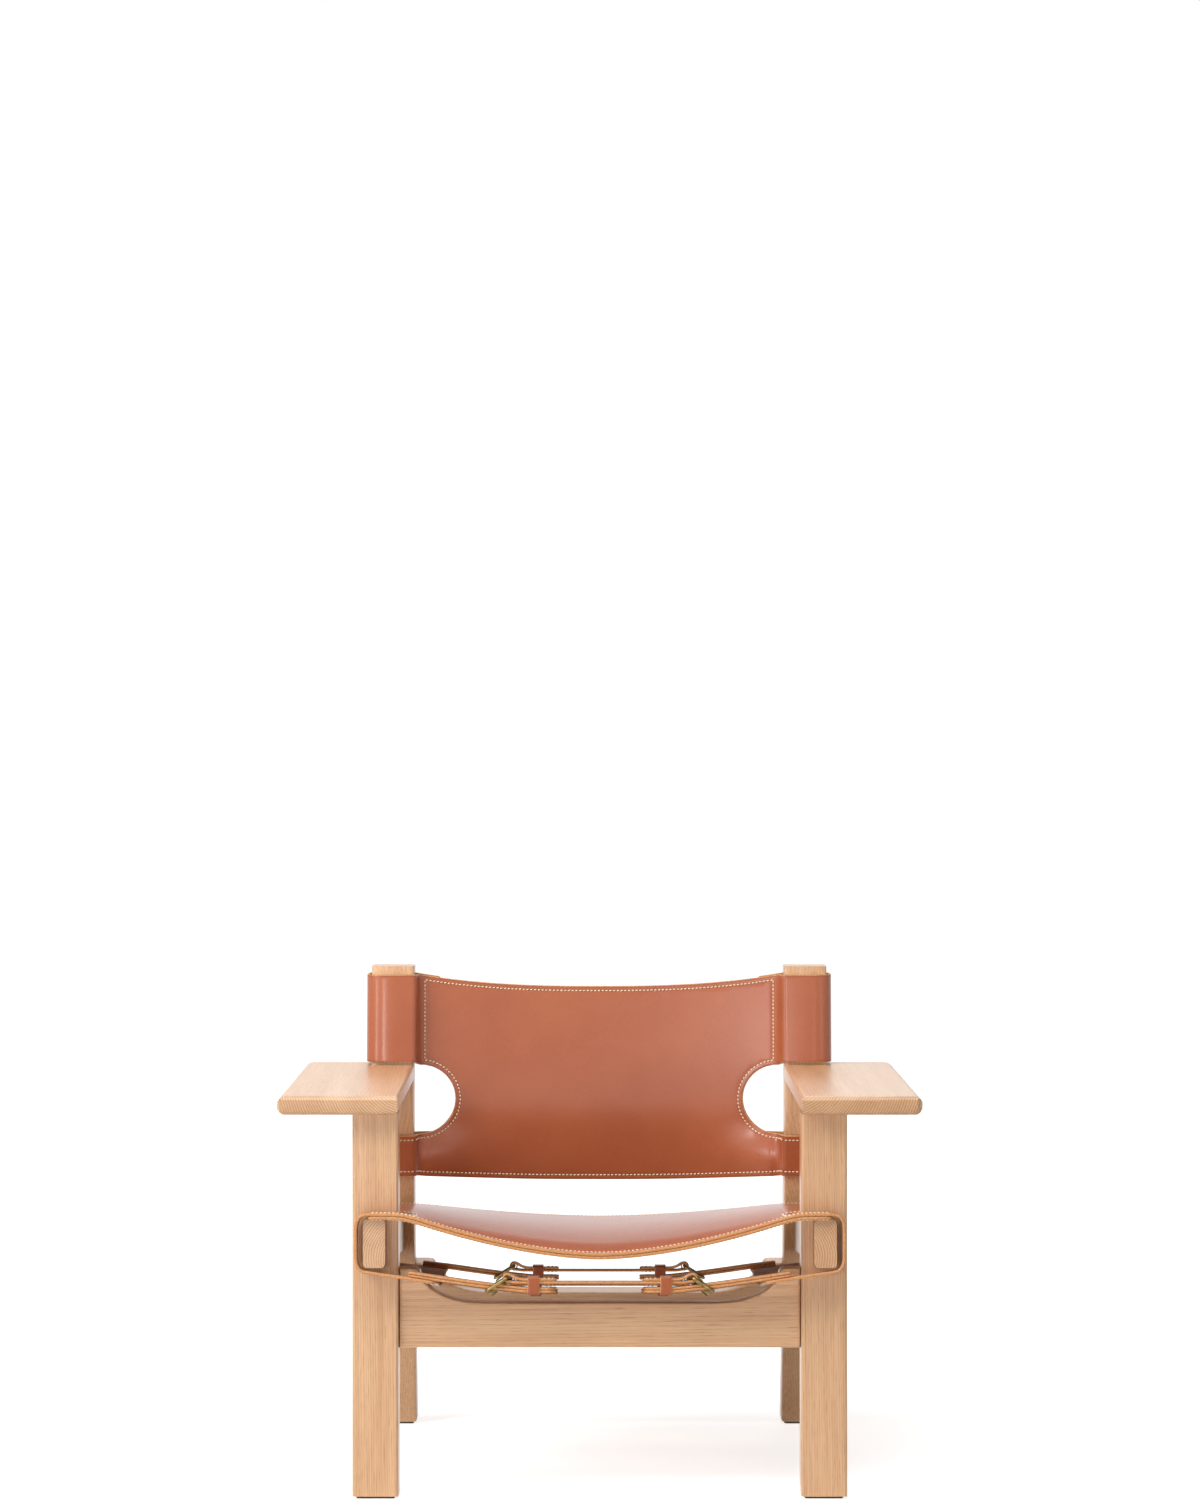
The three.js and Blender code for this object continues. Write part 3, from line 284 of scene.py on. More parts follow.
    def streaks(self, tree: Tree, board: Socket, width: float, stretch: float,
                detail: float = 3.0) -> Outputs:
        """Adds noise that is drawn out along the grain.

        Args:
            tree: The material's nodes.
            board: Places in the board's own frame, with the grain upright.
            width: How wide a streak is, in millimetres.
            stretch: How many times longer it is.
            detail: How many finer layers it has.

        Returns:
            The noise's outputs.
        """
        shorter = (1.0, 1.0, 1.0 / stretch)
        drawn = add_node(tree, "ShaderNodeVectorMath", (board, shorter), operation="MULTIPLY")[0]
        return add_node(tree, NOISE, {0: drawn, "Scale": per(width), "Detail": detail})


@dataclass(frozen=True)
class SaddleLeather(Finish):
    """Vegetable tanned cowhide, dyed cognac, waxed and plated: a close, half glossy grain with a quiet tone.

    The dye drifts a little over a hand's breadth, and it is darker in the pressed lines and along the cut
    edges. The cells of the grain are drawn about three times as wide as real ones, so that they show. The wax
    lies on top as a thin clear coat, which turns pale where the light grazes it.
    """

    base: str = "#A25532"
    bright: str = "#AC5E39"
    deep: str = "#6A351C"
    specular: float = 0.15
    roughness: float = 0.36
    smoother: float = 0.04
    rougher: float = 0.05
    wax: float = 0.9
    wax_roughness: float = 0.23
    cloud: float = 90.0
    drift_cut: Span = (0.3, 0.7)
    mottle: float = 4.0
    mottle_roughness: float = 0.65
    fleck_cut: Span = (0.45, 0.8)
    fleck_tone: Span = (0.0, 0.16)
    worn_cut: Span = (0.0, 0.6)
    worn_tone: Span = (0.4, 0.0)
    line_tone: float = 0.75
    grain: float = 1.5
    grain_share: float = 0.7
    fine_grain: float = 0.8
    relief: float = 0.09
    depth: float = 0.2

    def paint(self, tree: Tree) -> dict:
        """Draws the drift of the dye, the darker edges and lines, the grain cells and the wax.

        Args:
            tree: The material's nodes.

        Returns:
            The shader's inputs.
        """
        place = add_node(tree, COORDS)["Object"]
        clouds = {0: place, "Scale": per(self.cloud), "Detail": NOISE_DETAIL}
        cloud = add_node(tree, NOISE, clouds)["Fac"]
        body = add_node(tree, RANGE, (cloud, *self.drift_cut, 0.0, 1.0))[0]
        face = add_node(tree, MIX, {0: body, 6: linear(self.base), 7: linear(self.bright)},
                        data_type="RGBA")[2]
        flecks = {**clouds, "Scale": per(self.mottle), "Roughness": self.mottle_roughness}
        mottle = add_node(tree, NOISE, flecks)["Fac"]
        fleck = add_node(tree, RANGE, (mottle, *self.fleck_cut, *self.fleck_tone))[0]
        edge, line = (add_node(tree, "ShaderNodeAttribute", attribute_name=word)["Fac"]
                      for word in (EDGE_WORD, LINE_WORD))
        worn = add_node(tree, RANGE, (edge, *self.worn_cut, *self.worn_tone),
                        interpolation_type="SMOOTHSTEP")[0]
        sunk = add_node(tree, MATH, (line, self.line_tone), operation="MULTIPLY")[0]
        rubbed = add_node(tree, MATH, (fleck, worn), operation="MAXIMUM")[0]
        dark = add_node(tree, MATH, (rubbed, sunk), operation="MAXIMUM")[0]
        colour = add_node(tree, MIX, {0: dark, 6: face, 7: linear(self.deep)}, data_type="RGBA")
        levels = (self.roughness - self.smoother, self.roughness + self.rougher)
        rough = add_node(tree, RANGE, (mottle, *self.drift_cut, *levels))
        sized = {0: place, "Scale": per(self.grain)}
        cells = add_node(tree, "ShaderNodeTexVoronoi", sized, feature="SMOOTH_F1")
        fine = add_node(tree, NOISE, {0: place, "Scale": per(self.fine_grain), "Detail": 2.0})
        height = add_node(tree, MATH, (cells["Distance"], self.grain_share, fine["Fac"]),
                          operation="MULTIPLY_ADD")[0]
        relief = {"Strength": self.relief, "Distance": self.depth * MM, "Height": height}
        return {"Base Color": colour[2], "Roughness": rough[0], "Normal": add_node(tree, BUMP, relief)[0],
                "Specular IOR Level": self.specular, "Coat Weight": self.wax,
                "Coat Roughness": self.wax_roughness, "Coat IOR": WAX_IOR}


@dataclass(frozen=True)
class FleshSide(Finish):
    """The split flesh side of the same hide: matt, fibrous and paler, with a slight nap."""

    base: str = "#C08A5D"
    deep: str = "#946038"
    drift: float = 40.0
    drift_share: float = 0.5
    fibre: float = 1.6
    fibre_share: float = 0.6
    tangle: float = 1.2
    tone_cut: Span = (0.35, 0.75)
    relief: float = 0.4
    depth: float = 0.3
    roughness: float = 0.85
    nap: float = 0.2

    def paint(self, tree: Tree) -> dict:
        """Draws short loose fibres over a drifting tone.

        Args:
            tree: The material's nodes.

        Returns:
            The shader's inputs.
        """
        place = add_node(tree, COORDS)["Object"]
        broad = {0: place, "Scale": per(self.drift), "Detail": NOISE_DETAIL}
        drift = add_node(tree, NOISE, broad)["Fac"]
        loose = {0: place, "Scale": per(self.fibre), "Detail": NOISE_DETAIL, "Distortion": self.tangle}
        fibre = add_node(tree, NOISE, loose)["Fac"]
        below = add_node(tree, MATH, (drift, self.drift_share), operation="MULTIPLY")[0]
        total = add_node(tree, MATH, (fibre, self.fibre_share, below), operation="MULTIPLY_ADD")
        share = add_node(tree, RANGE, (total[0], *self.tone_cut, 0.0, 1.0))[0]
        colour = add_node(tree, MIX, {0: share, 6: linear(self.deep), 7: linear(self.base)},
                          data_type="RGBA")
        relief = {"Strength": self.relief, "Distance": self.depth * MM, "Height": fibre}
        return {"Base Color": colour[2], "Normal": add_node(tree, BUMP, relief)[0],
                "Roughness": self.roughness, "Sheen Weight": self.nap}


@dataclass(frozen=True)
class BurnishedEdge(Finish):
    """A cut edge of thick leather, rubbed with wax: orange tan, with the pressed fibre layers still seen."""

    base: str = "#D0965F"
    deep: str = "#AE6E3C"
    fibre: float = 2.2
    fibre_roughness: float = 0.6
    tone_cut: Span = (0.35, 0.65)
    relief: float = 0.2
    depth: float = 0.2
    roughness: float = 0.5

    def paint(self, tree: Tree) -> dict:
        """Draws the fibre layers as short streaks.

        Args:
            tree: The material's nodes.

        Returns:
            The shader's inputs.
        """
        place = add_node(tree, COORDS)["Object"]
        layers = {"Scale": per(self.fibre), "Detail": NOISE_DETAIL, "Roughness": self.fibre_roughness}
        fibre = add_node(tree, NOISE, {0: place, **layers})["Fac"]
        share = add_node(tree, RANGE, (fibre, *self.tone_cut, 0.0, 1.0))[0]
        colour = add_node(tree, MIX, {0: share, 6: linear(self.deep), 7: linear(self.base)},
                          data_type="RGBA")
        relief = {"Strength": self.relief, "Distance": self.depth * MM, "Height": fibre}
        return {"Base Color": colour[2], "Normal": add_node(tree, BUMP, relief)[0],
                "Roughness": self.roughness}


@dataclass(frozen=True)
class WaxedThread(Finish):
    """Twisted linen thread, drawn through beeswax: cream, dull, with a fine slanting twist whose grooves are
    painted darker as shade.
    """

    base: str = "#FAEBD3"
    deep: str = "#DEC59C"
    twist: float = 0.7
    relief: float = 0.3
    depth: float = 0.1
    roughness: float = 0.6

    def paint(self, tree: Tree) -> dict:
        """Draws the twist as fine slanting bands, with painted shade in the low grooves between them.

        Args:
            tree: The material's nodes.

        Returns:
            The shader's inputs.
        """
        place = add_node(tree, COORDS)["Object"]
        bands = {0: place, "Scale": WAVE_SHARE * per(self.twist)}
        twist = add_node(tree, "ShaderNodeTexWave", bands, bands_direction="DIAGONAL")["Fac"]
        # painted shade: the low parts of the twist take the deeper colour
        colour = add_node(tree, MIX, {0: twist, 6: linear(self.deep), 7: linear(self.base)},
                          data_type="RGBA")
        relief = {"Strength": self.relief, "Distance": self.depth * MM, "Height": twist}
        return {"Base Color": colour[2], "Normal": add_node(tree, BUMP, relief)[0],
                "Roughness": self.roughness}


@dataclass(frozen=True)
class AgedBrass(Finish):
    """Cast yellow brass, tumbled and left to dull: a warm metal with brown in its hollows."""

    base: str = "#97814F"
    deep: str = "#4C3B21"
    patch: float = 6.0
    patch_detail: float = 5.0
    patch_roughness: float = 0.6
    patch_cut: Span = (0.35, 0.7)
    tarnish: Span = (0.0, 0.8)
    roughness: Span = (0.26, 0.48)

    def paint(self, tree: Tree) -> dict:
        """Draws a patchy tarnish that is duller where it is darker.

        Args:
            tree: The material's nodes.

        Returns:
            The shader's inputs.
        """
        place = add_node(tree, COORDS)["Object"]
        spread = {"Scale": per(self.patch), "Detail": self.patch_detail, "Roughness": self.patch_roughness}
        patch = add_node(tree, NOISE, {0: place, **spread})["Fac"]
        share = add_node(tree, RANGE, (patch, *self.patch_cut, *self.tarnish))[0]
        colour = add_node(tree, MIX, {0: share, 6: linear(self.base), 7: linear(self.deep)},
                          data_type="RGBA")
        rough = add_node(tree, RANGE, (share, 0.0, 1.0, *self.roughness))
        return {"Base Color": colour[2], "Roughness": rough[0], "Metallic": 1.0}


@dataclass(frozen=True)
class MouldedNylon(Finish):
    """Black brown nylon, injection moulded and scuffed by the floor: dull, with a fine spark texture."""

    base: str = "#2E2925"
    scuff: str = "#4A433C"
    scuff_size: float = 8.0
    scuff_detail: float = 5.0
    scuff_cut: Span = (0.5, 0.8)
    spark_size: float = 0.6
    relief: float = 0.2
    depth: float = 0.1
    roughness: float = 0.6

    def paint(self, tree: Tree) -> dict:
        """Draws scuffs over a spark textured face.

        Args:
            tree: The material's nodes.

        Returns:
            The shader's inputs.
        """
        place = add_node(tree, COORDS)["Object"]
        scuffs = {0: place, "Scale": per(self.scuff_size), "Detail": self.scuff_detail}
        worn = add_node(tree, NOISE, scuffs)["Fac"]
        share = add_node(tree, RANGE, (worn, *self.scuff_cut, 0.0, 1.0))[0]
        colour = add_node(tree, MIX, {0: share, 6: linear(self.base), 7: linear(self.scuff)},
                          data_type="RGBA")
        spark = add_node(tree, NOISE, {0: place, "Scale": per(self.spark_size)})["Fac"]
        relief = {"Strength": self.relief, "Distance": self.depth * MM, "Height": spark}
        return {"Base Color": colour[2], "Normal": add_node(tree, BUMP, relief)[0],
                "Roughness": self.roughness}


SEAT_GRAIN = SaddleLeather("saddle_leather_grain_side")
STRAP_GRAIN = SaddleLeather("bridle_leather_grain_side", "#93461F", "#9F5129", cloud=40.0, wax=0.45)
FLESH = FleshSide("saddle_leather_flesh_side")
EDGE = BurnishedEdge("saddle_leather_burnished_edge")
THREAD = WaxedThread("waxed_linen_thread")
BRASS = AgedBrass("aged_cast_brass")
NYLON = MouldedNylon("moulded_nylon")
HIDE_FINISHES = (SEAT_GRAIN, FLESH, EDGE)
STRAP_FINISHES = (STRAP_GRAIN, FLESH, EDGE)


def dense(points: Sequence[Sequence[float]], step: float, closed: bool = False) -> Array:
    """Divides a line so that no part of it is longer than a step.

    Args:
        points: The line's corners.
        step: The longest part, in millimetres.
        closed: Whether the line runs back to its start.

    Returns:
        The corners and the points between them.
    """
    ends = np.asarray(points, float)
    if closed:
        ends = np.vstack([ends, ends[:1]])
    runs = []
    for start, stop in zip(ends[:-1], ends[1:]):
        count = max(1, math.ceil(np.linalg.norm(stop - start) / step))
        runs.append(start + (stop - start) * np.arange(count)[:, None] / count)
    if not closed:
        runs.append(ends[-1:])
    return np.vstack(runs)


def bezier(points: Sequence[Sequence[float]], count: int) -> Array:
    """Gives points along a Bezier curve of any degree.

    Args:
        points: The control points, each a pair or an array of pairs that is shaped (places, 2).
        count: How many parts the curve has.

    Returns:
        The points, with one axis more than a control point has before its last.
    """
    t = np.linspace(0.0, 1.0, count + 1)[:, None]
    layer = [np.asarray(point, float)[..., None, :] for point in points]
    while len(layer) > 1:
        layer = [a * (1 - t) + b * t for a, b in zip(layer[:-1], layer[1:])]
    return layer[0]


def rounded(points: Sequence[Sequence[float]], radius: float, closed: bool = True) -> Array:
    """Rounds the corners of an outline.

    Args:
        points: The corners.
        radius: How far from a corner its curve starts, in millimetres.
        closed: Whether the outline runs back to its start.

    Returns:
        The outline with a short curve in place of each corner.
    """
    corners = np.asarray(points, float)
    count = len(corners)
    runs = []
    for i, corner in enumerate(corners):
        if not closed and i in (0, count - 1):
            runs.append(corner[None])
            continue
        before, after = corners[i - 1] - corner, corners[(i + 1) % count] - corner
        reach = min(radius, np.linalg.norm(before) / CORNER_ROOM, np.linalg.norm(after) / CORNER_ROOM)
        start = corner + before / np.linalg.norm(before) * reach
        stop = corner + after / np.linalg.norm(after) * reach
        runs.append(bezier([start, corner, stop], CORNER_PARTS))
    return np.vstack(runs)


def gap_to(points: Array, line: Array, closed: bool) -> Array:
    """Measures how far points lie from a line.

    Args:
        points: The points, as rows.
        line: The line's corners.
        closed: Whether the line runs back to its start.

    Returns:
        The distance of each point.
    """
    stops = np.roll(line, -1, axis=0) if closed else line[1:]
    starts = line if closed else line[:-1]
    nearest = np.full(len(points), np.inf)
    for start, stop in zip(starts, stops):
        run = stop - start
        t = np.clip((points - start) @ run / max(run @ run, TINY), 0.0, 1.0)
        nearest = np.minimum(nearest, np.linalg.norm(points - start - t[:, None] * run, axis=1))
    return nearest


def inside(points: Array, outline: Array) -> Array:
    """Tells which points lie inside a closed outline.

    Args:
        points: The points, as rows.
        outline: The outline's corners.

    Returns:
        True or false for each point.
    """
    found = np.zeros(len(points), bool)
    for (ax, ay), (bx, by) in zip(outline, np.roll(outline, -1, axis=0)):
        spans = (ay > points[:, 1]) != (by > points[:, 1])
        if ay != by:
            found ^= spans & (points[:, 0] < (bx - ax) * (points[:, 1] - ay) / (by - ay) + ax)
    return found


@dataclass
class CutPattern:
    """A piece of leather as it is cut on the bench, flat.

    Attributes:
        outline: The cut edge, anticlockwise.
        columns: Where the mesh has points across the piece.
        rows: Where the mesh has points along it.
        holes: The edges of punched holes.
        pressed: The lines that are pressed in for the stitches.
        line_width: How wide a pressed line is.
        line_depth: How deep it is.
        line_room: How much of half a line's width is kept free of grid points beside it.
        line_step: How far apart the points along a line are.
        margin: The least distance from an inner point to an edge.
        point_gap: The grid in which no two inner points share a cell.
        weld: The distance at which two points become one.
    """

    outline: Array
    columns: Array
    rows: Array
    holes: list[Array] = field(default_factory=list)
    pressed: list[Array] = field(default_factory=list)
    line_width: float = 3.4
    line_depth: float = 0.4
    line_room: float = 1.5
    line_step: float = 4.0
    margin: float = 2.6
    point_gap: float = 0.8
    weld: float = 1e-4

    def area(self) -> float:
        """Gives the leather's flat area in square metres.

        Returns:
            The area.
        """
        total = 0.0
        for sign, edge in [(1.0, self.outline), *[(-1.0, hole) for hole in self.holes]]:
            after = np.roll(edge, -1, axis=0)
            total += sign * abs(np.sum(edge[:, 0] * after[:, 1] - edge[:, 1] * after[:, 0])) / 2
        return total * MM * MM

    def covers(self, points: Array) -> Array:
        """Tells which points lie on the leather.

        Args:
            points: Places on the pattern.

        Returns:
            True for each that does.
        """
        found = inside(points, self.outline)
        for hole in self.holes:
            found &= ~inside(points, hole)
        return found

    def from_edge(self, points: Array) -> Array:
        """Measures how far points lie from the nearest cut edge."""
        return np.min([gap_to(points, edge, True) for edge in [self.outline, *self.holes]], axis=0)

    def depth(self, points: Array) -> Array:
        """Gives how far the surface is pressed in at each point.

        Args:
            points: Places on the pattern.

        Returns:
            The depths.
        """
        deepest = np.zeros(len(points))
        for line in self.pressed:
            share = np.clip(gap_to(points, line, False) / (self.line_width / 2), 0.0, 1.0)
            deepest = np.maximum(deepest, self.line_depth * (1 - share ** 2))
        return deepest

    def triangles(self) -> tuple[Array, Array]:
        """Divides the leather into triangles that follow its edges and its pressed lines.

        Returns:
            The points and the triangles' corner numbers.
        """
        grid = np.stack(np.meshgrid(self.columns, self.rows), -1).reshape(-1, 2)
        grid = grid[self.covers(grid)]
        for line in self.pressed:
            grid = grid[gap_to(grid, line, False) > self.line_room * self.line_width / 2]
        beside = []
        for line in self.pressed:
            spaced = dense(line, self.line_step)
            run = np.gradient(spaced, axis=0)
            across = unit(np.stack([-run[:, 1], run[:, 0]], 1))
            beside += [spaced + across * share * self.line_width / 2 for share in (-1.0, 0.0, 1.0)]
        inner = np.vstack([grid, *beside])
        inner = inner[self.covers(inner) & (self.from_edge(inner) > self.margin)]
        _, first = np.unique(np.round(inner / self.point_gap).astype(int), axis=0, return_index=True)
        inner = inner[np.sort(first)]
        points, edges = [], []
        for edge in [self.outline, *self.holes]:
            start, count = len(points), len(edge)
            points += [Vector(p) for p in edge]
            edges += [(start + i, start + (i + 1) % count) for i in range(count)]
        points += [Vector(p) for p in inner]
        made = delaunay_2d_cdt(points, edges, [], 0, self.weld)
        corners = np.array([tuple(p) for p in made[0]])
        faces = np.array(made[2])
        return corners, faces[self.covers(corners[faces].mean(axis=1))]


def boundary_loops(faces: Array) -> list[Array]:
    """Finds the edges of a triangle mesh, in order.

    Args:
        faces: The triangles' corner numbers.

    Returns:
        One run of corner numbers for each closed edge.
    """
    pairs = {(int(a), int(b)) for face in faces for a, b in zip(face, np.roll(face, -1))}
    follow = {a: b for a, b in pairs if (b, a) not in pairs}
    loops = []
    while follow:
        start, nxt = follow.popitem()
        loop = [start]
        while nxt != start:
            loop.append(nxt)
            nxt = follow.pop(nxt)
        loops.append(np.array(loop))
    return loops


def eased(share: Array) -> Array:
    """Holds a share between 0 and 1 and eases it at both ends."""
    held = np.clip(share, 0.0, 1.0)
    return held * held * (3 - 2 * held)


def portion(share: Array, start: float, length: float) -> Array:
    """Gives how much of one part of a run is passed at places on the run."""
    return np.clip((share - start) / length, 0.0, 1.0)


def mirrored(half: Array) -> Array:
    """Adds to places on the right of a middle line their mirror images on the left."""
    return np.concatenate([-half[:0:-1], half])


def closed_edge(right: Array) -> Array:
    """Closes the right half of an outline with its mirror image and divides it into short parts."""
    return dense(np.vstack([right, (right * [-1.0, 1.0])[-2:0:-1]]), SEAM_STEP, closed=True)


def oblong(start: float, stop: float, half: float) -> list[Span]:
    """Draws a rectangle on a pattern, from its two ends and half of its width."""
    return [(start, -half), (stop, -half), (stop, half), (start, half)]


def full_turn(sides: int) -> Array:
    """Gives the angles of the points of a ring."""
    return np.arange(sides) * 2 * math.pi / sides


def unit(vectors: Array) -> Array:
    """Scales vectors to a length of one."""
    return vectors / np.maximum(np.linalg.norm(vectors, axis=-1, keepdims=True), TINY)


def facing(surface: Surface, points: Array, reach: float = 0.7) -> tuple[Array, Array]:
    """Places pattern points on a surface and finds which way the surface faces there.

    Args:
        surface: The surface, from places across and along the pattern.
        points: The pattern points.
        reach: How far to each side the slope is taken.

    Returns:
        The places and the directions.
    """
    u, v = points[:, 0], points[:, 1]
    across = surface(u + reach, v) - surface(u - reach, v)
    along = surface(u, v + reach) - surface(u, v - reach)
    return surface(u, v), unit(np.cross(across, along))


def new_piece(name: str, points: Array, faces: list, finishes: Sequence[Finish],
              marks: Sequence[int] = ()) -> Piece:
    """Makes a smooth mesh object from points in the model's frame.

    Args:
        name: The piece's name.
        points: The points in metres.
        faces: The faces' corner numbers.
        finishes: The finishes of its material slots.
        marks: The slot of each face, where there is more than one.

    Returns:
        The object.
    """
    mesh = bpy.data.meshes.new(name)
    mesh.from_pydata(points.tolist(), [], faces)
    for finish in finishes:
        mesh.materials.append(finish.material())
    if len(marks):
        mesh.polygons.foreach_set("material_index", np.asarray(marks, np.int32))
    mesh.polygons.foreach_set("use_smooth", np.ones(len(mesh.polygons), bool))
    mesh.validate()
    mesh.update()
    piece = bpy.data.objects.new(name, mesh)
    bpy.context.scene.collection.objects.link(piece)
    return piece


def seat_piece(piece: Piece, slot: str, nodes: Sequence[str] = (),
               body: str = CHAIR) -> Piece:
    """Fastens a piece to its body and hides the solids that it takes the place of.

    Args:
        piece: The piece.
        slot: The name of a material slot. Not used.
        nodes: The solids that it takes the place of.
        body: The body that carries it.

    Returns:
        The piece.
    """
    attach(piece, body)
    if nodes:
        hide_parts(*nodes)
    LOG.info("%s: %d faces", piece.name, len(piece.data.polygons))
    return piece


@dataclass
class OakFrame:
    """The oak frame: legs, rails, armrests and stretchers, and the glides under its feet."""

    legs_width: float = 634.0
    leg_width: float = 59.0
    leg_edge: float = 4.0
    rear_leg_depth: float = 46.0
    rear_foot_back: float = 565.0
    knee_back: float = 460.0
    knee_height: float = 455.0
    post_top_back: float = 477.0
    post_top_height: float = 654.5
    arm_underside: float = 494.0
    arm_thickness: float = 24.0
    rail_width: float = 28.0
    rail_height: float = 61.0
    rail_edge: float = 5.0
    rail_reach: float = 30.0
    rail_front_top: float = 361.7
    rail_slope: float = math.radians(5.7)
    top_easing: float = 1.2
    top_angle: float = math.radians(60)
    clearance: float = 0.3

    def __post_init__(self) -> None:
        """Works out the places that follow from the sizes."""
        self.leg_outer = self.legs_width / 2
        self.leg_inner = self.leg_outer - self.leg_width
        leg_centre = self.leg_outer - self.leg_width / 2
        self.rail_inner = leg_centre - self.rail_width / 2
        self.rail_outer = leg_centre + self.rail_width / 2
        self.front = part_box("front_leg_left")[0].y

    def rail_top(self, y: Array) -> Array:
        """Height of a rail's top face at places along the chair."""
        return self.rail_front_top - (y + self.rail_reach) * math.tan(self.rail_slope)

    def rail_bottom(self, y: Array) -> Array:
        """Height of a rail's bottom face at places along the chair."""
        return self.rail_top(y) - self.rail_height / math.cos(self.rail_slope)

    def post_rear(self, z: Array) -> Array:
        """Rear face of a rear leg at heights.

        Args:
            z: The heights.

        Returns:
            Places along Y.
        """
        below = self.rear_foot_back + (self.knee_back - self.rear_foot_back) * z / self.knee_height
        share = (z - self.knee_height) / (self.post_top_height - self.knee_height)
        above = self.knee_back + (self.post_top_back - self.knee_back) * share
        return np.where(z < self.knee_height, below, above)

    def to_model(self, points: Array) -> Array:
        """Turns millimetres from the front legs to metres in the model's frame."""
        return points * MM + np.array([0.0, self.front, 0.0])

    def dress(self) -> None:
        """Gives each board its own oak, with the grain along it, and eases the look of its edges."""
        boards = {
            "front_leg": (GrainAxis.UPRIGHT, (70.0, 24.0), (0.004, 0.010)),
            "rear_leg": (GrainAxis.UPRIGHT, (85.0, -40.0), (-0.012, 0.006)),
            "armrest": (GrainAxis.ALONG, (95.0, 48.0), (0.006, 0.014)),
            "seat_rail": (GrainAxis.ALONG, (44.0, 30.0), (-self.rail_slope, 0.0)),
        }
        soften = edge_softener()
        for kind, (grain, heart, tilt) in boards.items():
            for side in Side:
                turned = (heart[0] * side.value, heart[1])
                self.dress_board(f"{kind}_{side.word}", grain, turned, tilt, soften)
        self.dress_board("front_stretcher", GrainAxis.ACROSS, (38.0, 80.0), (0.0, 0.012), soften)
        self.dress_board("rear_stretcher", GrainAxis.ACROSS, (-30.0, 95.0), (0.0, -0.010), soften)
        for end in ("front", "rear"):
            for side in Side:
                self.refinish(f"glide_{end}_{side.word}", NYLON)

    def dress_board(self, node: str, grain: GrainAxis, heart: Span, tilt: Span,
                    soften: Tree) -> None:
        """Gives one board its finish and its soft edges.

        Args:
            node: The board's solid.
            grain: The direction of its fibres.
            heart: How far its middle lies from the heart of the tree.
            tilt: How far its faces are out of line with the fibres.
            soften: The nodes that mark which edges stay sharp.
        """
        low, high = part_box(node)
        self.refinish(node, SoapedOak(f"soaped_oak_{node}", grain, tuple((low + high) / 2), heart, tilt))
        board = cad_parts[node]
        board.modifiers.new("soft_edges", "NODES").node_group = soften
        if node.startswith("rear_leg"):
            bevel = board.modifiers.new("eased_top", "BEVEL")
            bevel.width = self.top_easing * MM
            bevel.segments = 2
            bevel.angle_limit = self.top_angle
        board.modifiers.new("flat_faces", "WEIGHTED_NORMAL").keep_sharp = True

    def refinish(self, node: str, finish: Finish) -> None:
        """Puts a finish on a solid that stays in view.

        Args:
            node: The solid.
            finish: Its finish.
        """
        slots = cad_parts[node].data.materials
        slots.clear()
        slots.append(finish.material())
        LOG.info("%s: %s", node, finish.name)


def edge_softener(joined: float = 0.01, sharp: float = math.radians(38)) -> Tree:
    """Makes the nodes that join a solid's faces and shade its rounded edges as curves.

    Args:
        joined: Points nearer than this are one, in millimetres.
        sharp: Edges with a larger angle than this stay sharp.

    Returns:
        The node tree.
    """
    tree = bpy.data.node_groups.new("soft_edges", "GeometryNodeTree")
    tree.interface.new_socket("Geometry", in_out="INPUT", socket_type="NodeSocketGeometry")
    tree.interface.new_socket("Geometry", in_out="OUTPUT", socket_type="NodeSocketGeometry")
    start = add_node(tree, "NodeGroupInput")
    near = {"Geometry": start[0], "Distance": joined * MM}
    whole = add_node(tree, "GeometryNodeMergeByDistance", near)
    angle = add_node(tree, "GeometryNodeInputMeshEdgeAngle")
    turned = add_node(tree, "FunctionNodeCompare", {0: angle[0], 1: sharp}, operation="GREATER_THAN")
    curved = {"Geometry": whole[0], "Shade Smooth": True}
    smooth = add_node(tree, "GeometryNodeSetShadeSmooth", curved, domain="FACE")
    creased = {"Geometry": smooth[0], "Selection": turned[0], "Shade Smooth": False}
    kept = add_node(tree, "GeometryNodeSetShadeSmooth", creased, domain="EDGE")
    add_node(tree, "NodeGroupOutput", {0: kept[0]})
    return tree


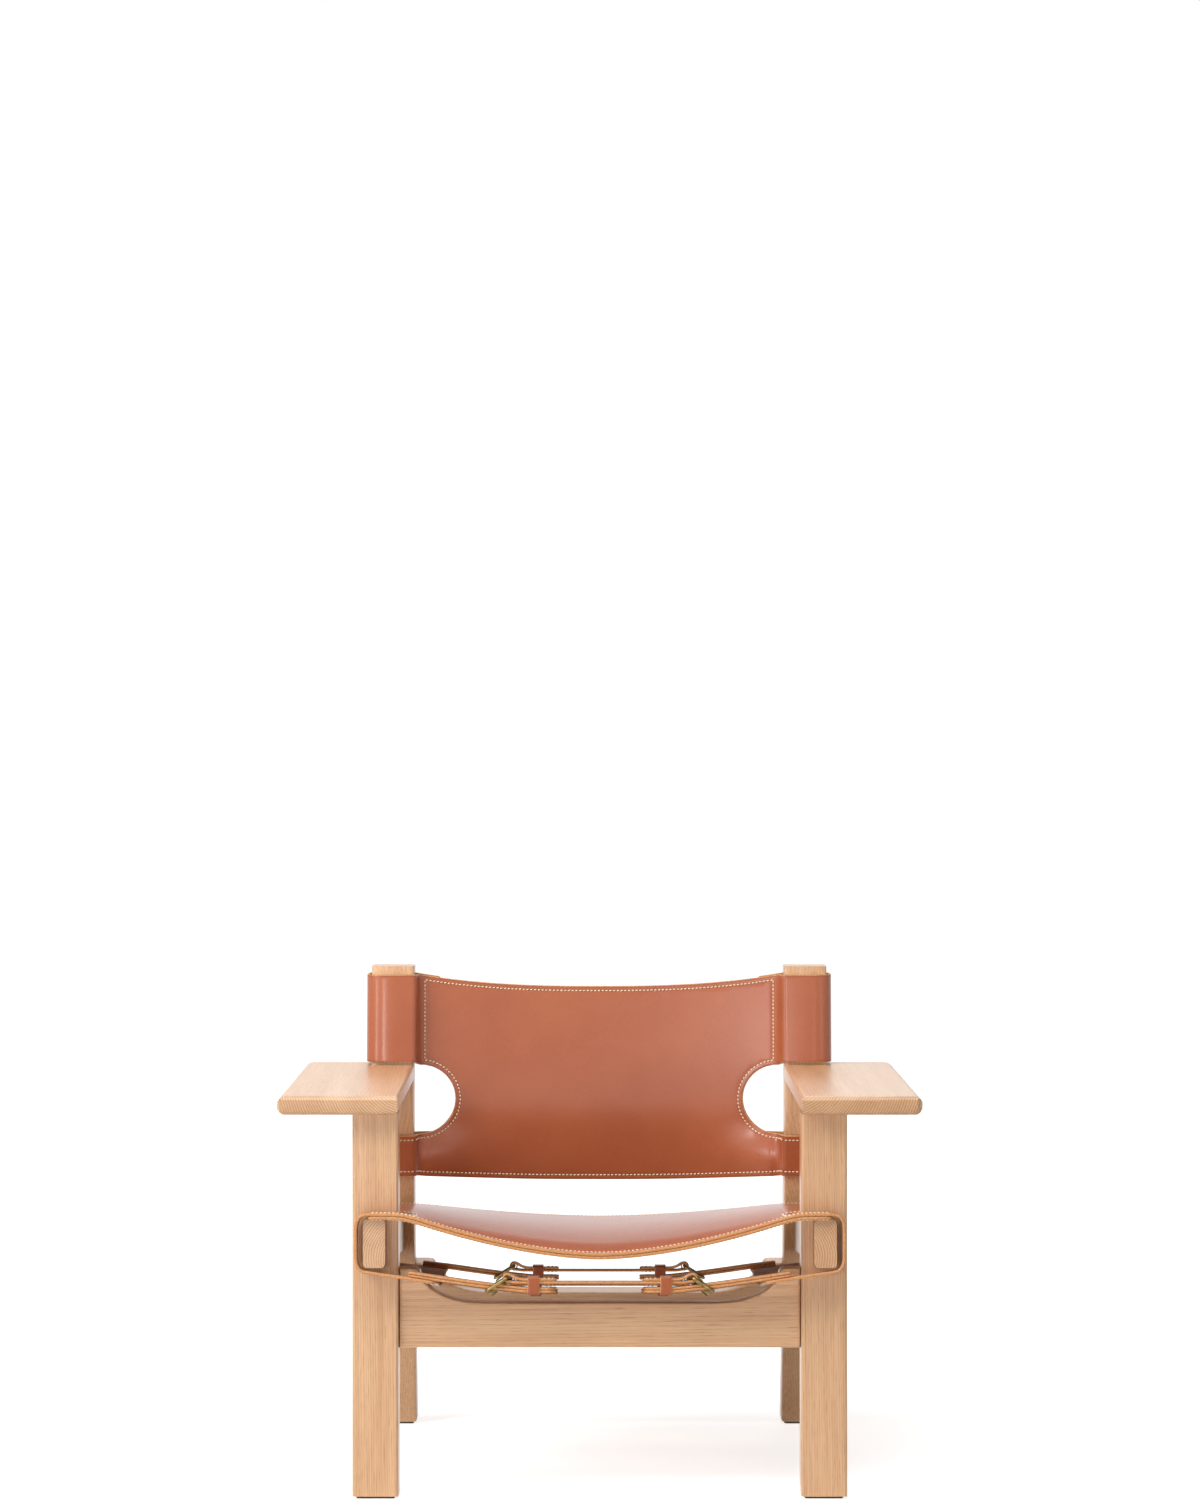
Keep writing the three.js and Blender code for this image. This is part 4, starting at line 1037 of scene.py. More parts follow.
@dataclass
class Workbench:
    """Makes leather pieces and their stitches from cut patterns and the surfaces they lie on."""

    oak: OakFrame
    edge_radius: float = 1.2
    edge_share: float = 0.8
    edge_parts: int = 4
    stitch_pitch: float = 5.3
    stitch_length: float = 3.8
    stitch_radius: float = 0.88
    stitch_slant: float = math.radians(9)
    stitch_crown: float = 0.25
    stitch_dip: float = 0.55
    stitch_taper: float = 0.8
    stitch_rings: int = 7
    stitch_sides: int = 8
    worn_reach: float = 5.0

    def leather(self, name: str, pattern: CutPattern, surface: Surface, thickness: float,
                finishes: tuple[Finish, Finish, Finish], offset: float = 0.0) -> Piece:
        """Makes a thick sheet with two faces and rounded edges.

        Args:
            name: The piece's name.
            pattern: How it is cut.
            surface: Where its middle lies.
            thickness: How thick it is.
            finishes: The grain side, the flesh side and the cut edge.
            offset: How far its middle lies from the surface, towards the grain side.

        Returns:
            The object.
        """
        flat, faces = pattern.triangles()
        middle, out = facing(surface, flat)
        middle = middle + out * offset
        half = thickness / 2
        radius = min(self.edge_radius, self.edge_share * half)
        press = pattern.depth(flat)[:, None]
        top, bottom = middle + out * (half - press), middle - out * half
        count = len(flat)
        bends = np.linspace(0.0, math.pi / 2, self.edge_parts)
        arc = np.stack([np.sin(bends) - 1.0, np.cos(bends) - 1.0], 1) * radius + [0.0, half]
        profile = np.vstack([arc, (arc * [1.0, -1.0])[::-1]])
        quads, layers, total = [], [], 2 * count
        for loop in boundary_loops(faces):
            run = np.roll(middle[loop], -1, axis=0) - middle[loop]
            beside = unit(np.cross(run, out[loop]))
            away = unit(beside + np.roll(beside, 1, axis=0))
            top[loop] += away * profile[0, 0]
            bottom[loop] += away * profile[-1, 0]
            columns = [loop]
            for reach, rise in profile[1:-1]:
                layers.append(middle[loop] + away * reach + out[loop] * rise)
                columns.append(total + np.arange(len(loop)))
                total += len(loop)
            columns.append(loop + count)
            for upper, lower in zip(columns[:-1], columns[1:]):
                after = (np.roll(upper, -1), np.roll(lower, -1))
                quads.append(np.stack([after[0], upper, lower, after[1]], 1))
        rim = np.vstack(quads)
        points = self.oak.to_model(np.vstack([top, bottom, *layers]))
        every = [*faces.tolist(), *(faces[:, ::-1] + count).tolist(), *rim.tolist()]
        marks = np.repeat([0, 1, 2], [len(faces), len(faces), len(rim)])
        piece = new_piece(name, points, every, finishes, marks)
        near = np.zeros(total, np.float32)
        near[:count] = np.clip(pattern.from_edge(flat) / self.worn_reach, 0.0, 1.0)
        near[count:2 * count] = near[:count]
        sunk = np.zeros(total, np.float32)
        sunk[:count] = press[:, 0] / pattern.line_depth
        for word, values in ((EDGE_WORD, near), (LINE_WORD, sunk)):
            piece.data.attributes.new(word, "FLOAT", "POINT").data.foreach_set("value", values)
        return piece

    def stitches(self, name: str, lines: Sequence[Array], surface: Surface, rise: float,
                 flip: bool = False) -> Piece:
        """Lays a run of stitches along each line.

        Args:
            name: The piece's name.
            lines: The lines on the pattern.
            surface: Where the leather's middle lies.
            rise: How far the face that they lie on is from the middle.
            flip: Whether they lie on the flesh side.

        Returns:
            The object.
        """
        here, ways = [], []
        for line in lines:
            total = run_length(line)[-1]
            count = max(2, round(total / self.stitch_pitch))
            places = (np.arange(count) + 0.5) * total / count
            behind, at, ahead = (at_lengths(line, places + shift) for shift in (-1.0, 0.0, 1.0))
            here.append(at)
            ways.append(ahead - behind)
        spot, way = np.vstack(here), unit(np.vstack(ways))
        middle, out = facing(surface, spot)
        run = unit(surface(*(spot + way).T) - surface(*(spot - way).T))
        if flip:
            out = -out
        beside = np.cross(out, run)
        run = run * math.cos(self.stitch_slant) + beside * math.sin(self.stitch_slant)
        beside = np.cross(out, run)
        share = np.linspace(-1.0, 1.0, self.stitch_rings)
        turn = full_turn(self.stitch_sides)
        girth = self.stitch_radius * np.sqrt(np.maximum(1 - self.stitch_taper * share ** 4, 0.0))
        rings = (
            middle[:, None, None] + out[:, None, None] * rise
            + run[:, None, None] * (share * self.stitch_length / 2)[None, :, None, None]
            + out[:, None, None] * (self.stitch_crown - self.stitch_dip * share ** 2)[None, :, None, None]
            + beside[:, None, None] * (girth[:, None] * np.cos(turn))[None, :, :, None]
            + out[:, None, None] * (girth[:, None] * np.sin(turn))[None, :, :, None]
        )
        faces = []
        for stitch in range(len(spot)):
            base = stitch * rings.shape[1] * rings.shape[2]
            faces += tube_faces(rings.shape[1], rings.shape[2], base)
        return new_piece(name, self.oak.to_model(rings.reshape(-1, 3)), faces, [THREAD])


def tube_faces(rings: int, sides: int, base: int = 0, closed: bool = False) -> list[list[int]]:
    """Lists the faces of a tube.

    Args:
        rings: How many rings of points it has.
        sides: How many points a ring has.
        base: The number of its first point.
        closed: Whether the last ring joins the first, and otherwise the ends are capped.

    Returns:
        The faces' corner numbers.
    """
    faces = []
    for i in range(rings if closed else rings - 1):
        here, there = base + i * sides, base + (i + 1) % rings * sides
        for j in range(sides):
            after = (j + 1) % sides
            faces.append([here + j, here + after, there + after, there + j])
    if not closed:
        last = base + (rings - 1) * sides
        faces += [[base + j for j in reversed(range(sides))], [last + j for j in range(sides)]]
    return faces


def flowing(points: Sequence[Sequence[float]], count: int) -> Array:
    """Gives the smooth line that a strip of leather takes from one support to the next.

    Args:
        points: The supports.
        count: How many parts there are between two of them.

    Returns:
        The points of the line.
    """
    ends = np.asarray(points, float)
    spread = np.vstack([ends[:1], ends, ends[-1:]])
    t = np.linspace(0.0, 1.0, count, endpoint=False)[:, None]
    runs = []
    for before, start, stop, after in zip(spread[:-3], spread[1:-2], spread[2:-1], spread[3:]):
        leave, arrive = (stop - before) / 2, (after - start) / 2
        bend = 2 * (start - stop) + leave + arrive
        lean = 3 * (stop - start) - 2 * leave - arrive
        runs.append(bend * t ** 3 + lean * t ** 2 + leave * t + start)
    return np.vstack([*runs, ends[-1:]])


def run_length(line: Array) -> Array:
    """Measures the length along a line up to each of its points."""
    return np.concatenate([[0.0], np.cumsum(np.linalg.norm(np.diff(line, axis=0), axis=1))])


def at_lengths(line: Array, places: Array) -> Array:
    """Finds the points of a line at lengths along it."""
    lengths = run_length(line)
    return np.stack([np.interp(places, lengths, line[:, k]) for k in (0, 1)], 1)


def on_sections(section: Callable[[Array], Array], reference: Array, u: Array, v: Array) -> Array:
    """Finds places on a bent sheet from its cross sections.

    Args:
        section: Gives half of the cross section at places along the sheet.
        reference: The half section whose length the pattern is measured on.
        u: Lengths across the sheet from its middle.
        v: Places along the sheet.

    Returns:
        The two coordinates of each place in its cross section.
    """
    lines = section(v)
    spot = np.interp(np.abs(u), run_length(reference), np.arange(len(reference)))
    index = np.minimum(spot.astype(int), len(reference) - 2)
    share = (spot - index)[:, None]
    rows = np.arange(len(u))
    found = lines[rows, index] * (1 - share) + lines[rows, index + 1] * share
    found[:, 0] *= np.where(u < 0, -1.0, 1.0)
    return found


def spots(x: Array | float, other: Array | float) -> Array:
    """Pairs two coordinates, either of which may be one number for all."""
    return np.stack(np.broadcast_arrays(np.asarray(x, float), np.asarray(other, float)), -1)


def steps(start: float, stop: float, size: float) -> Array:
    """Gives evenly spaced places that are about a size apart."""
    return np.linspace(start, stop, max(2, round(abs(stop - start) / size) + 1))


def both_sides(line: Array) -> list[Array]:
    """Gives a line on the right of a pattern and its mirror image on the left."""
    return [line, line * [-1.0, 1.0]]


@dataclass
class StrapSizes:
    """The sizes that the buckled straps share, and the places that follow from them.

    A strap is drawn flat: x runs outward from its middle, y across it and z towards the chair.
    """

    width: float = 25.0
    thickness: float = 3.2
    fold_end: float = 56.0
    billet_thickness: float = 4.0
    billet_drop: float = 9.5
    billet_end: float = 55.0
    billet_rise: float = 4.0
    point_length: float = 9.0
    point_blunt: float = 1.5
    sewn_length: float = 34.0
    flap_end: float = 210.0
    bar_radius: float = 2.3
    bar_reach: float = 2.483
    buckle_place: float = 118.0
    buckle_length: float = 30.5
    buckle_width: float = 31.9
    buckle_corner: float = 5.0
    buckle_tilt: float = math.radians(31.6)
    heel_lift: float = 6.0
    prong_thickness: float = 3.0
    prong_width: float = 4.0
    prong_ring: float = 1.8
    prong_overhang: float = 4.0
    prong_opening: float = math.radians(40)
    prong_turn: Place = (-28.0, -311.0, -12.0)
    prong_swell: Span = (0.42, 0.2)
    prong_taper: Span = (0.6, 0.4)
    prong_thinner: float = 0.35
    prong_thinner_power: float = 1.5
    prong_narrower: float = 0.4
    prong_tip_curve: float = 40.0
    prong_tip_end: float = 0.12
    keeper_place: float = 77.0
    keeper_length: float = 15.0
    keeper_thickness: float = 2.0
    keeper_corner: float = 2.6
    keeper_butt: float = 0.2
    seam_inset: float = 4.0
    seam_length: float = 17.0
    seam_width: float = 2.4
    seam_depth: float = 0.3
    corner: float = 3.0
    point_margin: float = 1.6
    clearance: float = 0.3
    slack: float = 0.6

    def __post_init__(self) -> None:
        """Works out where the buckle, the billet and the prong lie."""
        self.tip_place = self.buckle_place + self.buckle_length * math.cos(self.buckle_tilt)
        self.tip_height = self.heel_lift - self.buckle_length * math.sin(self.buckle_tilt)
        self.billet_over_tip = self.tip_height + self.bar_reach + self.clearance + self.billet_thickness / 2
        lift = self.bar_reach + self.clearance + self.prong_thickness / 2
        self.prong_rest = self.buckle_tilt + math.asin(lift / self.buckle_length)
        self.fold_height = self.thickness + self.clearance
        self.fold_radius = self.bar_reach + self.slack + self.thickness / 2
        self.keeper_outer = self.keeper_place + self.keeper_length

    def billet_line(self) -> Array:
        """Gives a billet's middle line, from its flap over the buckle's tip bar and through the keeper.

        Returns:
            Places outward and their heights.
        """
        held = [(self.flap_end, self.billet_rise), (self.tip_place, self.billet_over_tip),
                (self.keeper_outer, -self.billet_drop), (self.keeper_place, -self.billet_drop)]
        free = steps(self.keeper_place, self.billet_end, 2.0)[1:]
        return np.vstack([flowing(held, 30), spots(free, -self.billet_drop)])

    def billet_point(self, end: float, level: float = 0.0) -> list[Span]:
        """Draws the pointed end of a billet on a pattern, from its lower to its upper edge.

        Args:
            end: Where it ends.
            level: The height of its middle.

        Returns:
            Its corners.
        """
        half = self.width / 2
        shoulder, blunt = end - self.point_length, end - self.point_blunt
        return [(shoulder, level - half), (blunt, level - half * 0.5), (end, level),
                (blunt, level + half * 0.5), (shoulder, level + half)]

    def crossing(self, angle: float) -> float:
        """Gives where a prong that points down by an angle crosses the billet.

        Args:
            angle: The angle in radians.

        Returns:
            The place outward.
        """
        slope = (self.billet_over_tip + self.billet_drop) / (self.tip_place - self.keeper_outer)
        drop = self.heel_lift - self.billet_over_tip - slope * (self.buckle_place - self.tip_place)
        return self.buckle_place + drop / (math.sin(angle) + slope * math.cos(angle)) * math.cos(angle)

    def prong_slot(self) -> Span:
        """Finds the ends of the oblong hole that lets the prong swing through a billet.

        Returns:
            The inner and the outer end of the hole.
        """
        ends = []
        for angle, way in ((self.prong_rest + self.prong_opening, -1.0), (self.prong_rest, 1.0)):
            margin = self.billet_thickness / 2 / math.tan(angle) + self.prong_thickness / 2 / math.sin(angle)
            ends.append(self.crossing(angle) + way * (margin + 2 * self.slack))
        return ends[0], ends[1]

    def slot_edge(self, start: float, stop: float, level: float = 0.0) -> Array:
        """Draws the edge of an oblong prong hole on a pattern.

        Args:
            start: One end of the hole along the strap.
            stop: Its other end.
            level: The middle of the strap across it.

        Returns:
            The points of the edge.
        """
        half = self.prong_width / 2 + self.slack
        corners = oblong(start, stop, half)
        return dense(rounded(corners, half * 0.95), STRAP_STEP, closed=True) + [0.0, level]


@dataclass
class Layer:
    """One of a sling's two layers.

    Attributes:
        name: What its pieces' names start with.
        slot: Its material slot.
        node: The solid that it takes the place of.
        cut: Its pattern.
        flat: Its flat width and length.
        seams: The stitch lines that show on it.
    """

    name: str
    slot: str
    node: str
    cut: CutPattern
    flat: Span
    seams: list[Array]


@dataclass
class Sling:
    """A hide that is drawn over the frame, with a lining sewn behind it."""

    oak: OakFrame
    bench: Workbench
    straps: StrapSizes
    thickness: float = 4.0
    lining_thickness: float = 4.0
    stitch_inset: float = 6.7

    @property
    def lining_drop(self) -> float:
        """How far the middle of the lining lies from the middle of the hide."""
        return self.thickness / 2 + self.oak.clearance + self.lining_thickness / 2

    def surface(self, u: Array, v: Array) -> Array:
        """Places points of the pattern on the middle of the hide."""
        raise NotImplementedError

    def sew(self, hide: Layer, lining: Layer, rests: list[str]) -> None:
        """Makes the two layers and the stitches on their outer faces.

        Args:
            hide: The layer in view.
            lining: The layer behind it.
            rests: The solids that the sling rests on. Not used.
        """
        half, drop = self.thickness / 2, self.lining_drop
        made = []
        for layer, thickness, offset in ((hide, self.thickness, 0.0), (lining, self.lining_thickness, -drop)):
            sheet = self.bench.leather(f"{layer.name}_leather", layer.cut, self.surface, thickness,
                                       HIDE_FINISHES, offset)
            made.append(seat_piece(sheet, layer.slot, [layer.node]))
        rises = (half - hide.cut.line_depth, drop + half)
        for layer, sheet, rise in zip((hide, lining), made, rises):
            seam = self.bench.stitches(f"{layer.name}_stitches", layer.seams, self.surface, rise,
                                       flip=layer is lining)
            seat_piece(seam, layer.slot)
            width, length = layer.flat
            layer.cut.area()


@dataclass
class SeatSling(Sling):
    """The seat: a hide slung over the rails, its flaps under them, and the lining sewn below it."""

    wrap_slack: float = 3.5
    wrap_slack_rear: float = 11.0
    wrap_bulge: float = 7.5
    front: float = -34.0
    rear: float = 430.0
    sag_front: float = 46.5
    sag_rear: float = 17.0
    front_roll: float = 4.5
    roll_length: float = 90.0
    slot_inner: float = 243.0
    slot_front: float = -4.0
    slot_rear: float = 51.0
    slot_radius: float = 9.0
    strap_drop: float = 18.6
    strap_middle_drop: float = 32.0
    strap_rear_drop: float = 22.1
    strap_front: float = -19.0
    strap_middle: float = 200.0
    strap_rear: float = 400.0
    sag_fullness: float = 1.17
    sag_power: float = 1.7
    sag_blend: float = 0.05
    panel_points: int = 141
    seam_end: float = 4.0
    box_inner: float = 5.0
    box_outer: float = 4.0
    box_side: float = 3.5
    bend_reach: float = 25.0
    bend_step: float = 4.0
    flat_step: float = 8.5
    close_rows_end: float = 70.0
    close_row_step: float = 6.0
    row_step: float = 9.0

    def __post_init__(self) -> None:
        """Measures the pattern on the cross section in the middle of the seat."""
        self.reference = self.section(np.array([self.strap_middle]))[0]
        lengths = run_length(self.reference)
        self.half_width = lengths[-1]
        panel = self.reference[:, 0] < self.oak.rail_outer
        panel[np.argmin(panel):] = False
        self.slot_across = float(np.interp(self.slot_inner, self.reference[panel, 0], lengths[panel]))
        shoulder = self.oak.rail_outer - self.oak.rail_edge
        self.shoulder_across = float(np.interp(shoulder, self.reference[panel, 0], lengths[panel]))

    def strap_height(self, y: Array) -> Array:
        """Height of the middle of the seat straps at places along the chair.

        Args:
            y: The places.

        Returns:
            The heights.
        """
        half = self.straps.width / 2
        down = (y - self.slot_front) / (self.strap_middle - half - self.slot_front)
        up = (y - self.strap_middle - half) / (self.strap_rear - self.strap_middle - 2 * half)
        drop = self.strap_drop + (self.strap_middle_drop - self.strap_drop) * eased(down)
        drop += (self.strap_rear_drop - drop) * eased(up)
        return self.oak.rail_bottom(y) - drop

    def flap(self, y: Array) -> tuple[Array, Array]:
        """Finds the flap's middle line at places along the chair.

        Args:
            y: The places.

        Returns:
            Where it leaves the rail and where it ends.
        """
        along = (y - self.front) / (self.rear - self.front)
        gap = self.wrap_slack + (self.wrap_slack_rear - self.wrap_slack) * along + self.thickness / 2
        under = spots(self.oak.rail_outer - self.oak.rail_edge, self.oak.rail_bottom(y) - gap)
        billet = self.strap_height(y) + self.straps.billet_rise
        below = (self.thickness + self.straps.billet_thickness) / 2 + self.straps.clearance
        slope = (under[:, 1] - billet + below) / (under[:, 0] - self.straps.flap_end)
        return under, spots(self.straps.flap_end, billet - below * np.hypot(1.0, slope))

    def section(self, y: Array) -> Array:
        """Draws the right half of the hide's middle line at places along the chair.

        Args:
            y: The places.

        Returns:
            For each place, points from the middle of the seat to the end of the flap.
        """
        oak = self.oak
        rest = oak.rail_top(y) + 2 * oak.clearance + self.lining_thickness + self.thickness / 2
        roll = np.maximum(0.0, 1 - (y - self.front) / self.roll_length) ** 2
        along = (y - self.front) / (self.rear - self.front)
        sag = self.sag_front + (self.sag_rear - self.sag_front) * along + self.front_roll * roll
        share = np.linspace(0.0, 1.0, self.panel_points)
        slack = self.sag_fullness * share ** self.sag_power
        blend = self.sag_blend
        level = -blend * np.log(np.exp(-slack / blend) + np.exp(-1 / blend))
        level[-1] = 1.0
        panel = spots(share * oak.rail_inner, rest[:, None] - sag[:, None] * (1 - level))
        outer = oak.rail_outer + self.wrap_bulge + self.thickness / 2
        turn = oak.rail_height / 3
        under, end = self.flap(y)
        shoulder = spots(oak.rail_outer - oak.rail_edge, rest)
        high, low = spots(outer, rest - turn), spots(outer, under[:, 1] + turn)
        runs = [bezier([spots(oak.rail_inner, rest), shoulder], 10),
                bezier([shoulder, spots(outer, rest), high], 18),
                bezier([high, low], 8),
                bezier([low, spots(outer, under[:, 1]), under], 18),
                bezier([under, end], 30)]
        return np.concatenate([panel, *[run[:, 1:] for run in runs]], axis=1)

    def surface(self, u: Array, v: Array) -> Array:
        """Places points of the pattern on the middle of the hide."""
        across = on_sections(self.section, self.reference, u, v)
        return np.stack([across[:, 0], v, across[:, 1]], 1)

    def pattern(self, half_width: float, lines: list[Array]) -> CutPattern:
        """Cuts one of the two layers.

        Args:
            half_width: How far the layer reaches from the middle of the seat.
            lines: Its stitch lines.

        Returns:
            The pattern.
        """
        side = [(half_width, self.front), (half_width, self.slot_front), (self.slot_across, self.slot_front),
                (self.slot_across, self.slot_rear), (half_width, self.slot_rear), (half_width, self.rear)]
        corners = side + [(-u, v) for u, v in reversed(side)]
        bend_start, split = self.shoulder_across - self.bend_reach, self.close_rows_end
        bend = steps(bend_start, self.half_width, self.bend_step)[1:]
        half = np.concatenate([steps(0.0, bend_start, self.flat_step), bend])
        close_rows = steps(self.front, split, self.close_row_step)
        rows = np.concatenate([close_rows, steps(split, self.rear, self.row_step)[1:]])
        edge = dense(rounded(corners, self.slot_radius), SEAM_STEP, closed=True)
        return CutPattern(edge, mirrored(half), rows, pressed=lines)

    def joining_lines(self) -> list[Array]:
        """Draws the lines that sew the two layers together: front, rear and round the leg slots.

        Returns:
            The lines on the pattern.
        """
        reach, inset = self.shoulder_across - self.seam_end, self.stitch_inset
        front = dense([(-reach, self.front + inset), (reach, self.front + inset)], SEAM_STEP)
        rear = dense([(-reach, self.rear - inset), (reach, self.rear - inset)], SEAM_STEP)
        corner = [(reach, self.slot_front - inset), (self.slot_across - inset, self.slot_front - inset),
                  (self.slot_across - inset, self.slot_rear + inset), (reach, self.slot_rear + inset)]
        slot = dense(rounded(corner, self.slot_radius, closed=False), SEAM_STEP)
        return [front, rear, *both_sides(slot)]

    def flap_lines(self) -> list[Array]:
        """Draws the boxes that sew the billets to the flaps.

        Returns:
            The lines on the pattern.
        """
        inner = self.half_width - self.straps.sewn_length + self.box_inner
        outer = self.half_width - self.box_outer
        half = self.straps.width / 2 - self.box_side
        boxes = []
        for y in (self.strap_front, self.strap_middle, self.strap_rear):
            low, high = y - half, y + half
            corners = [(inner, low), (outer, low), (outer, high), (inner, high), (inner, low)]
            boxes += both_sides(dense(corners, SEAM_STEP))
        return boxes

    def build(self) -> None:
        """Makes the hide, the lining and their stitches."""
        joined, boxes = self.joining_lines(), self.flap_lines()
        length = self.rear - self.front
        cut = self.pattern(self.half_width, joined + boxes)
        flat = (2 * self.half_width, length)
        hide = Layer("seat", "leather_hide", "seat_hide", cut, flat, joined + boxes)
        under = self.pattern(self.shoulder_across, [])
        flat = (2 * self.shoulder_across, length)
        lining = Layer("seat_under", "leather_lining", "seat_lining", under, flat, joined)
        self.sew(hide, lining, ["seat_rail_left", "seat_rail_right"])


@dataclass
class BackSling(Sling):
    """The back: a hide drawn round the posts, with a billet for each strap, and the lining sewn behind it."""

    bottom_centre: float = 352.0
    bottom_side: float = 362.0
    top_centre: float = 624.5
    top_side: float = 643.0
    edge_power: float = 2.5
    setback: float = 23.0
    sag: float = 15.0
    outer_bulge: float = 3.0
    outer_start: float = 3.0
    edge_turn: float = 16.0
    corner_reach: float = 12.0
    corner_proud: float = 2.0
    crown: float = 4.5
    crown_reach: float = 19.0
    knee_ease: float = 70.0
    band_forward: float = 17.0
    band_start: float = 0.55
    band_above: float = 20.0
    band_fade: float = 60.0
    hole_inner: float = 201.0
    hole_turn: float = 250.0
    hole_bottom: float = 420.0
    hole_top: float = 516.0
    hole_rise: float = 6.0
    arc_pull: float = 0.55
    strap_upper: float = 582.5
    strap_lower: float = 391.0
    strap_drop: float = 15.0
    wing_full: float = 225.0
    wing_narrow: float = 190.0
    wing_radius: float = 6.0
    side_seam: float = 244.0
    lining_margin: float = 1.0
    seam_margin: float = 3.0
    panel_points: int = 121
    arc_parts: int = 14
    bend_reach: float = 10.0
    flat_step: float = 8.0
    wrap_step: float = 3.2
    billet_step: float = 5.0
    row_step: float = 7.0

    def __post_init__(self) -> None:
        """Measures the pattern on the cross section at the height of the armrests."""
        self.panel_edge = self.oak.leg_inner - self.oak.clearance - self.thickness / 2 - self.edge_turn
        self.reference = self.section(np.array([self.oak.arm_underside + self.oak.arm_thickness / 2]))[0]
        self.lengths = run_length(self.reference)
        self.turn_back = int(np.argmax(self.reference[:, 0]))

    def plane(self, z: Array) -> Array:
        """The rear of the posts as one straight run from strap to strap."""
        low, high = (self.oak.post_rear(np.array(level)) for level in (self.strap_lower, self.strap_upper))
        return low + (high - low) * (z - self.strap_lower) / (self.strap_upper - self.strap_lower)

    def drape(self, z: Array) -> Array:
        """The rear of the posts with their bend eased, which the leather follows between them.

        Args:
            z: Heights.

        Returns:
            Places along Y.
        """
        oak = self.oak
        above = (oak.post_top_back - oak.knee_back) / (oak.post_top_height - oak.knee_height)
        below = (oak.knee_back - oak.rear_foot_back) / oak.knee_height
        past = z - oak.knee_height
        straight = oak.knee_back + (above + below) / 2 * past
        return straight + (above - below) / 2 * np.hypot(past, self.knee_ease)

    def section(self, z: Array) -> Array:
        """Draws the right half of the hide's middle line at heights.

        Args:
            z: The heights.

        Returns:
            For each height, points from the middle of the back round the post to the end of the billet.
        """
        oak = self.oak
        gap = oak.clearance + self.thickness / 2
        share = np.linspace(0.0, 1.0, self.panel_points)
        behind = self.drape(z) - oak.rear_leg_depth + self.setback
        low = eased((self.hole_bottom + self.band_above - z) / self.band_fade)
        aside = portion(share, self.band_start, 1 - self.band_start)
        drawn = self.band_forward * low[:, None] * aside ** 2
        panel = spots(share * self.panel_edge, behind[:, None] + self.sag * (1 - share ** 2) - drawn)
        front, rear = oak.post_rear(z) - oak.rear_leg_depth - gap, oak.post_rear(z) + gap
        inner, outer = oak.leg_inner - gap, oak.leg_outer + self.outer_bulge + self.thickness / 2
        edge, reach = oak.leg_edge, self.corner_reach
        proud = front - self.corner_proud
        turned = spots(inner, front + edge)
        ahead = spots(oak.leg_inner + edge / 2, front)
        corner = spots(oak.leg_outer - reach, proud)
        outside = spots(outer, front + reach + self.outer_start)
        behind_post = spots(outer, rear - 2 * edge)
        back = spots(oak.leg_outer - edge, rear)
        plane = self.plane(z) + self.strap_drop
        line = self.straps.billet_line()
        billet = spots(line[:, 0], plane[:, None] - line[:, 1])
        leave = spots(oak.leg_inner, rear)
        crown = spots(oak.leg_outer - self.crown_reach, front - self.crown)
        runs = [bezier([panel[:, -1], spots(inner, panel[:, -1, 1]), turned], 18),
                bezier([turned, spots(inner, front), ahead], 10),
                bezier([ahead, crown, corner], 18),
                bezier([corner, spots(outer, proud + self.crown / 2), outside], 22),
                bezier([outside, behind_post], 8),
                bezier([behind_post, spots(outer, rear), back], 14),
                bezier([back, leave], 12),
                bezier([leave, billet[:, 0]], 12)]
        return np.concatenate([panel, *[run[:, 1:] for run in runs], billet[:, 1:]], axis=1)

    def surface(self, u: Array, v: Array) -> Array:
        """Places points of the pattern on the middle of the hide."""
        across = on_sections(self.section, self.reference, u, v)
        return np.stack([across[:, 0], across[:, 1], v], 1)

    def across(self, x: Array | float, rear: bool = False) -> Array:
        """Gives the pattern's place across for places on the front or on the rear of the chair.

        Args:
            x: Places outward.
            rear: Whether they lie behind.

        Returns:
            Places on the pattern.
        """
        part = slice(self.turn_back, None) if rear else slice(None, self.turn_back + 1)
        known, lengths = self.reference[part, 0], self.lengths[part]
        order = np.argsort(known, kind="stable")
        return np.interp(x, known[order], lengths[order])

    def edge(self, u: Array, centre: float, side: float) -> Array:
        """Gives the height of the curved top or bottom edge at places across the pattern."""
        x = np.interp(u, self.lengths, self.reference[:, 0])
        return centre + (side - centre) * np.minimum(x / self.oak.leg_inner, 1.0) ** self.edge_power

    def rims(self, run: Array) -> tuple[Array, Array]:
        """Draws the bottom and the top edge at places across the pattern.

        Args:
            run: The places.

        Returns:
            The two edges.
        """
        bottom = self.edge(np.abs(run), self.bottom_centre, self.bottom_side)
        top = self.edge(np.abs(run), self.top_centre, self.top_side)
        return spots(run, bottom), spots(run, top)

    def hole_edge(self, inset: float = 0.0) -> Array:
        """Draws the right arm hole from its lower to its upper end.

        Args:
            inset: How far outside the hole the line runs.

        Returns:
            The points on the pattern.
        """
        middle = (self.hole_bottom + self.hole_top) / 2
        pull = self.hole_turn + (self.hole_inner - self.hole_turn) * self.arc_pull
        halves = []
        for end in (self.hole_bottom, self.hole_top):
            tall = middle + (end - middle) * self.arc_pull
            halves.append(bezier([(self.hole_turn, end), (pull, end), (self.hole_inner, tall),
                                  (self.hole_inner, middle)], self.arc_parts))
        line = np.vstack([halves[0], halves[1][-2::-1]])
        line[:, 0] = self.across(line[:, 0])
        run = unit(np.gradient(line, axis=0))
        return line - np.stack([run[:, 1], -run[:, 0]], 1) * inset

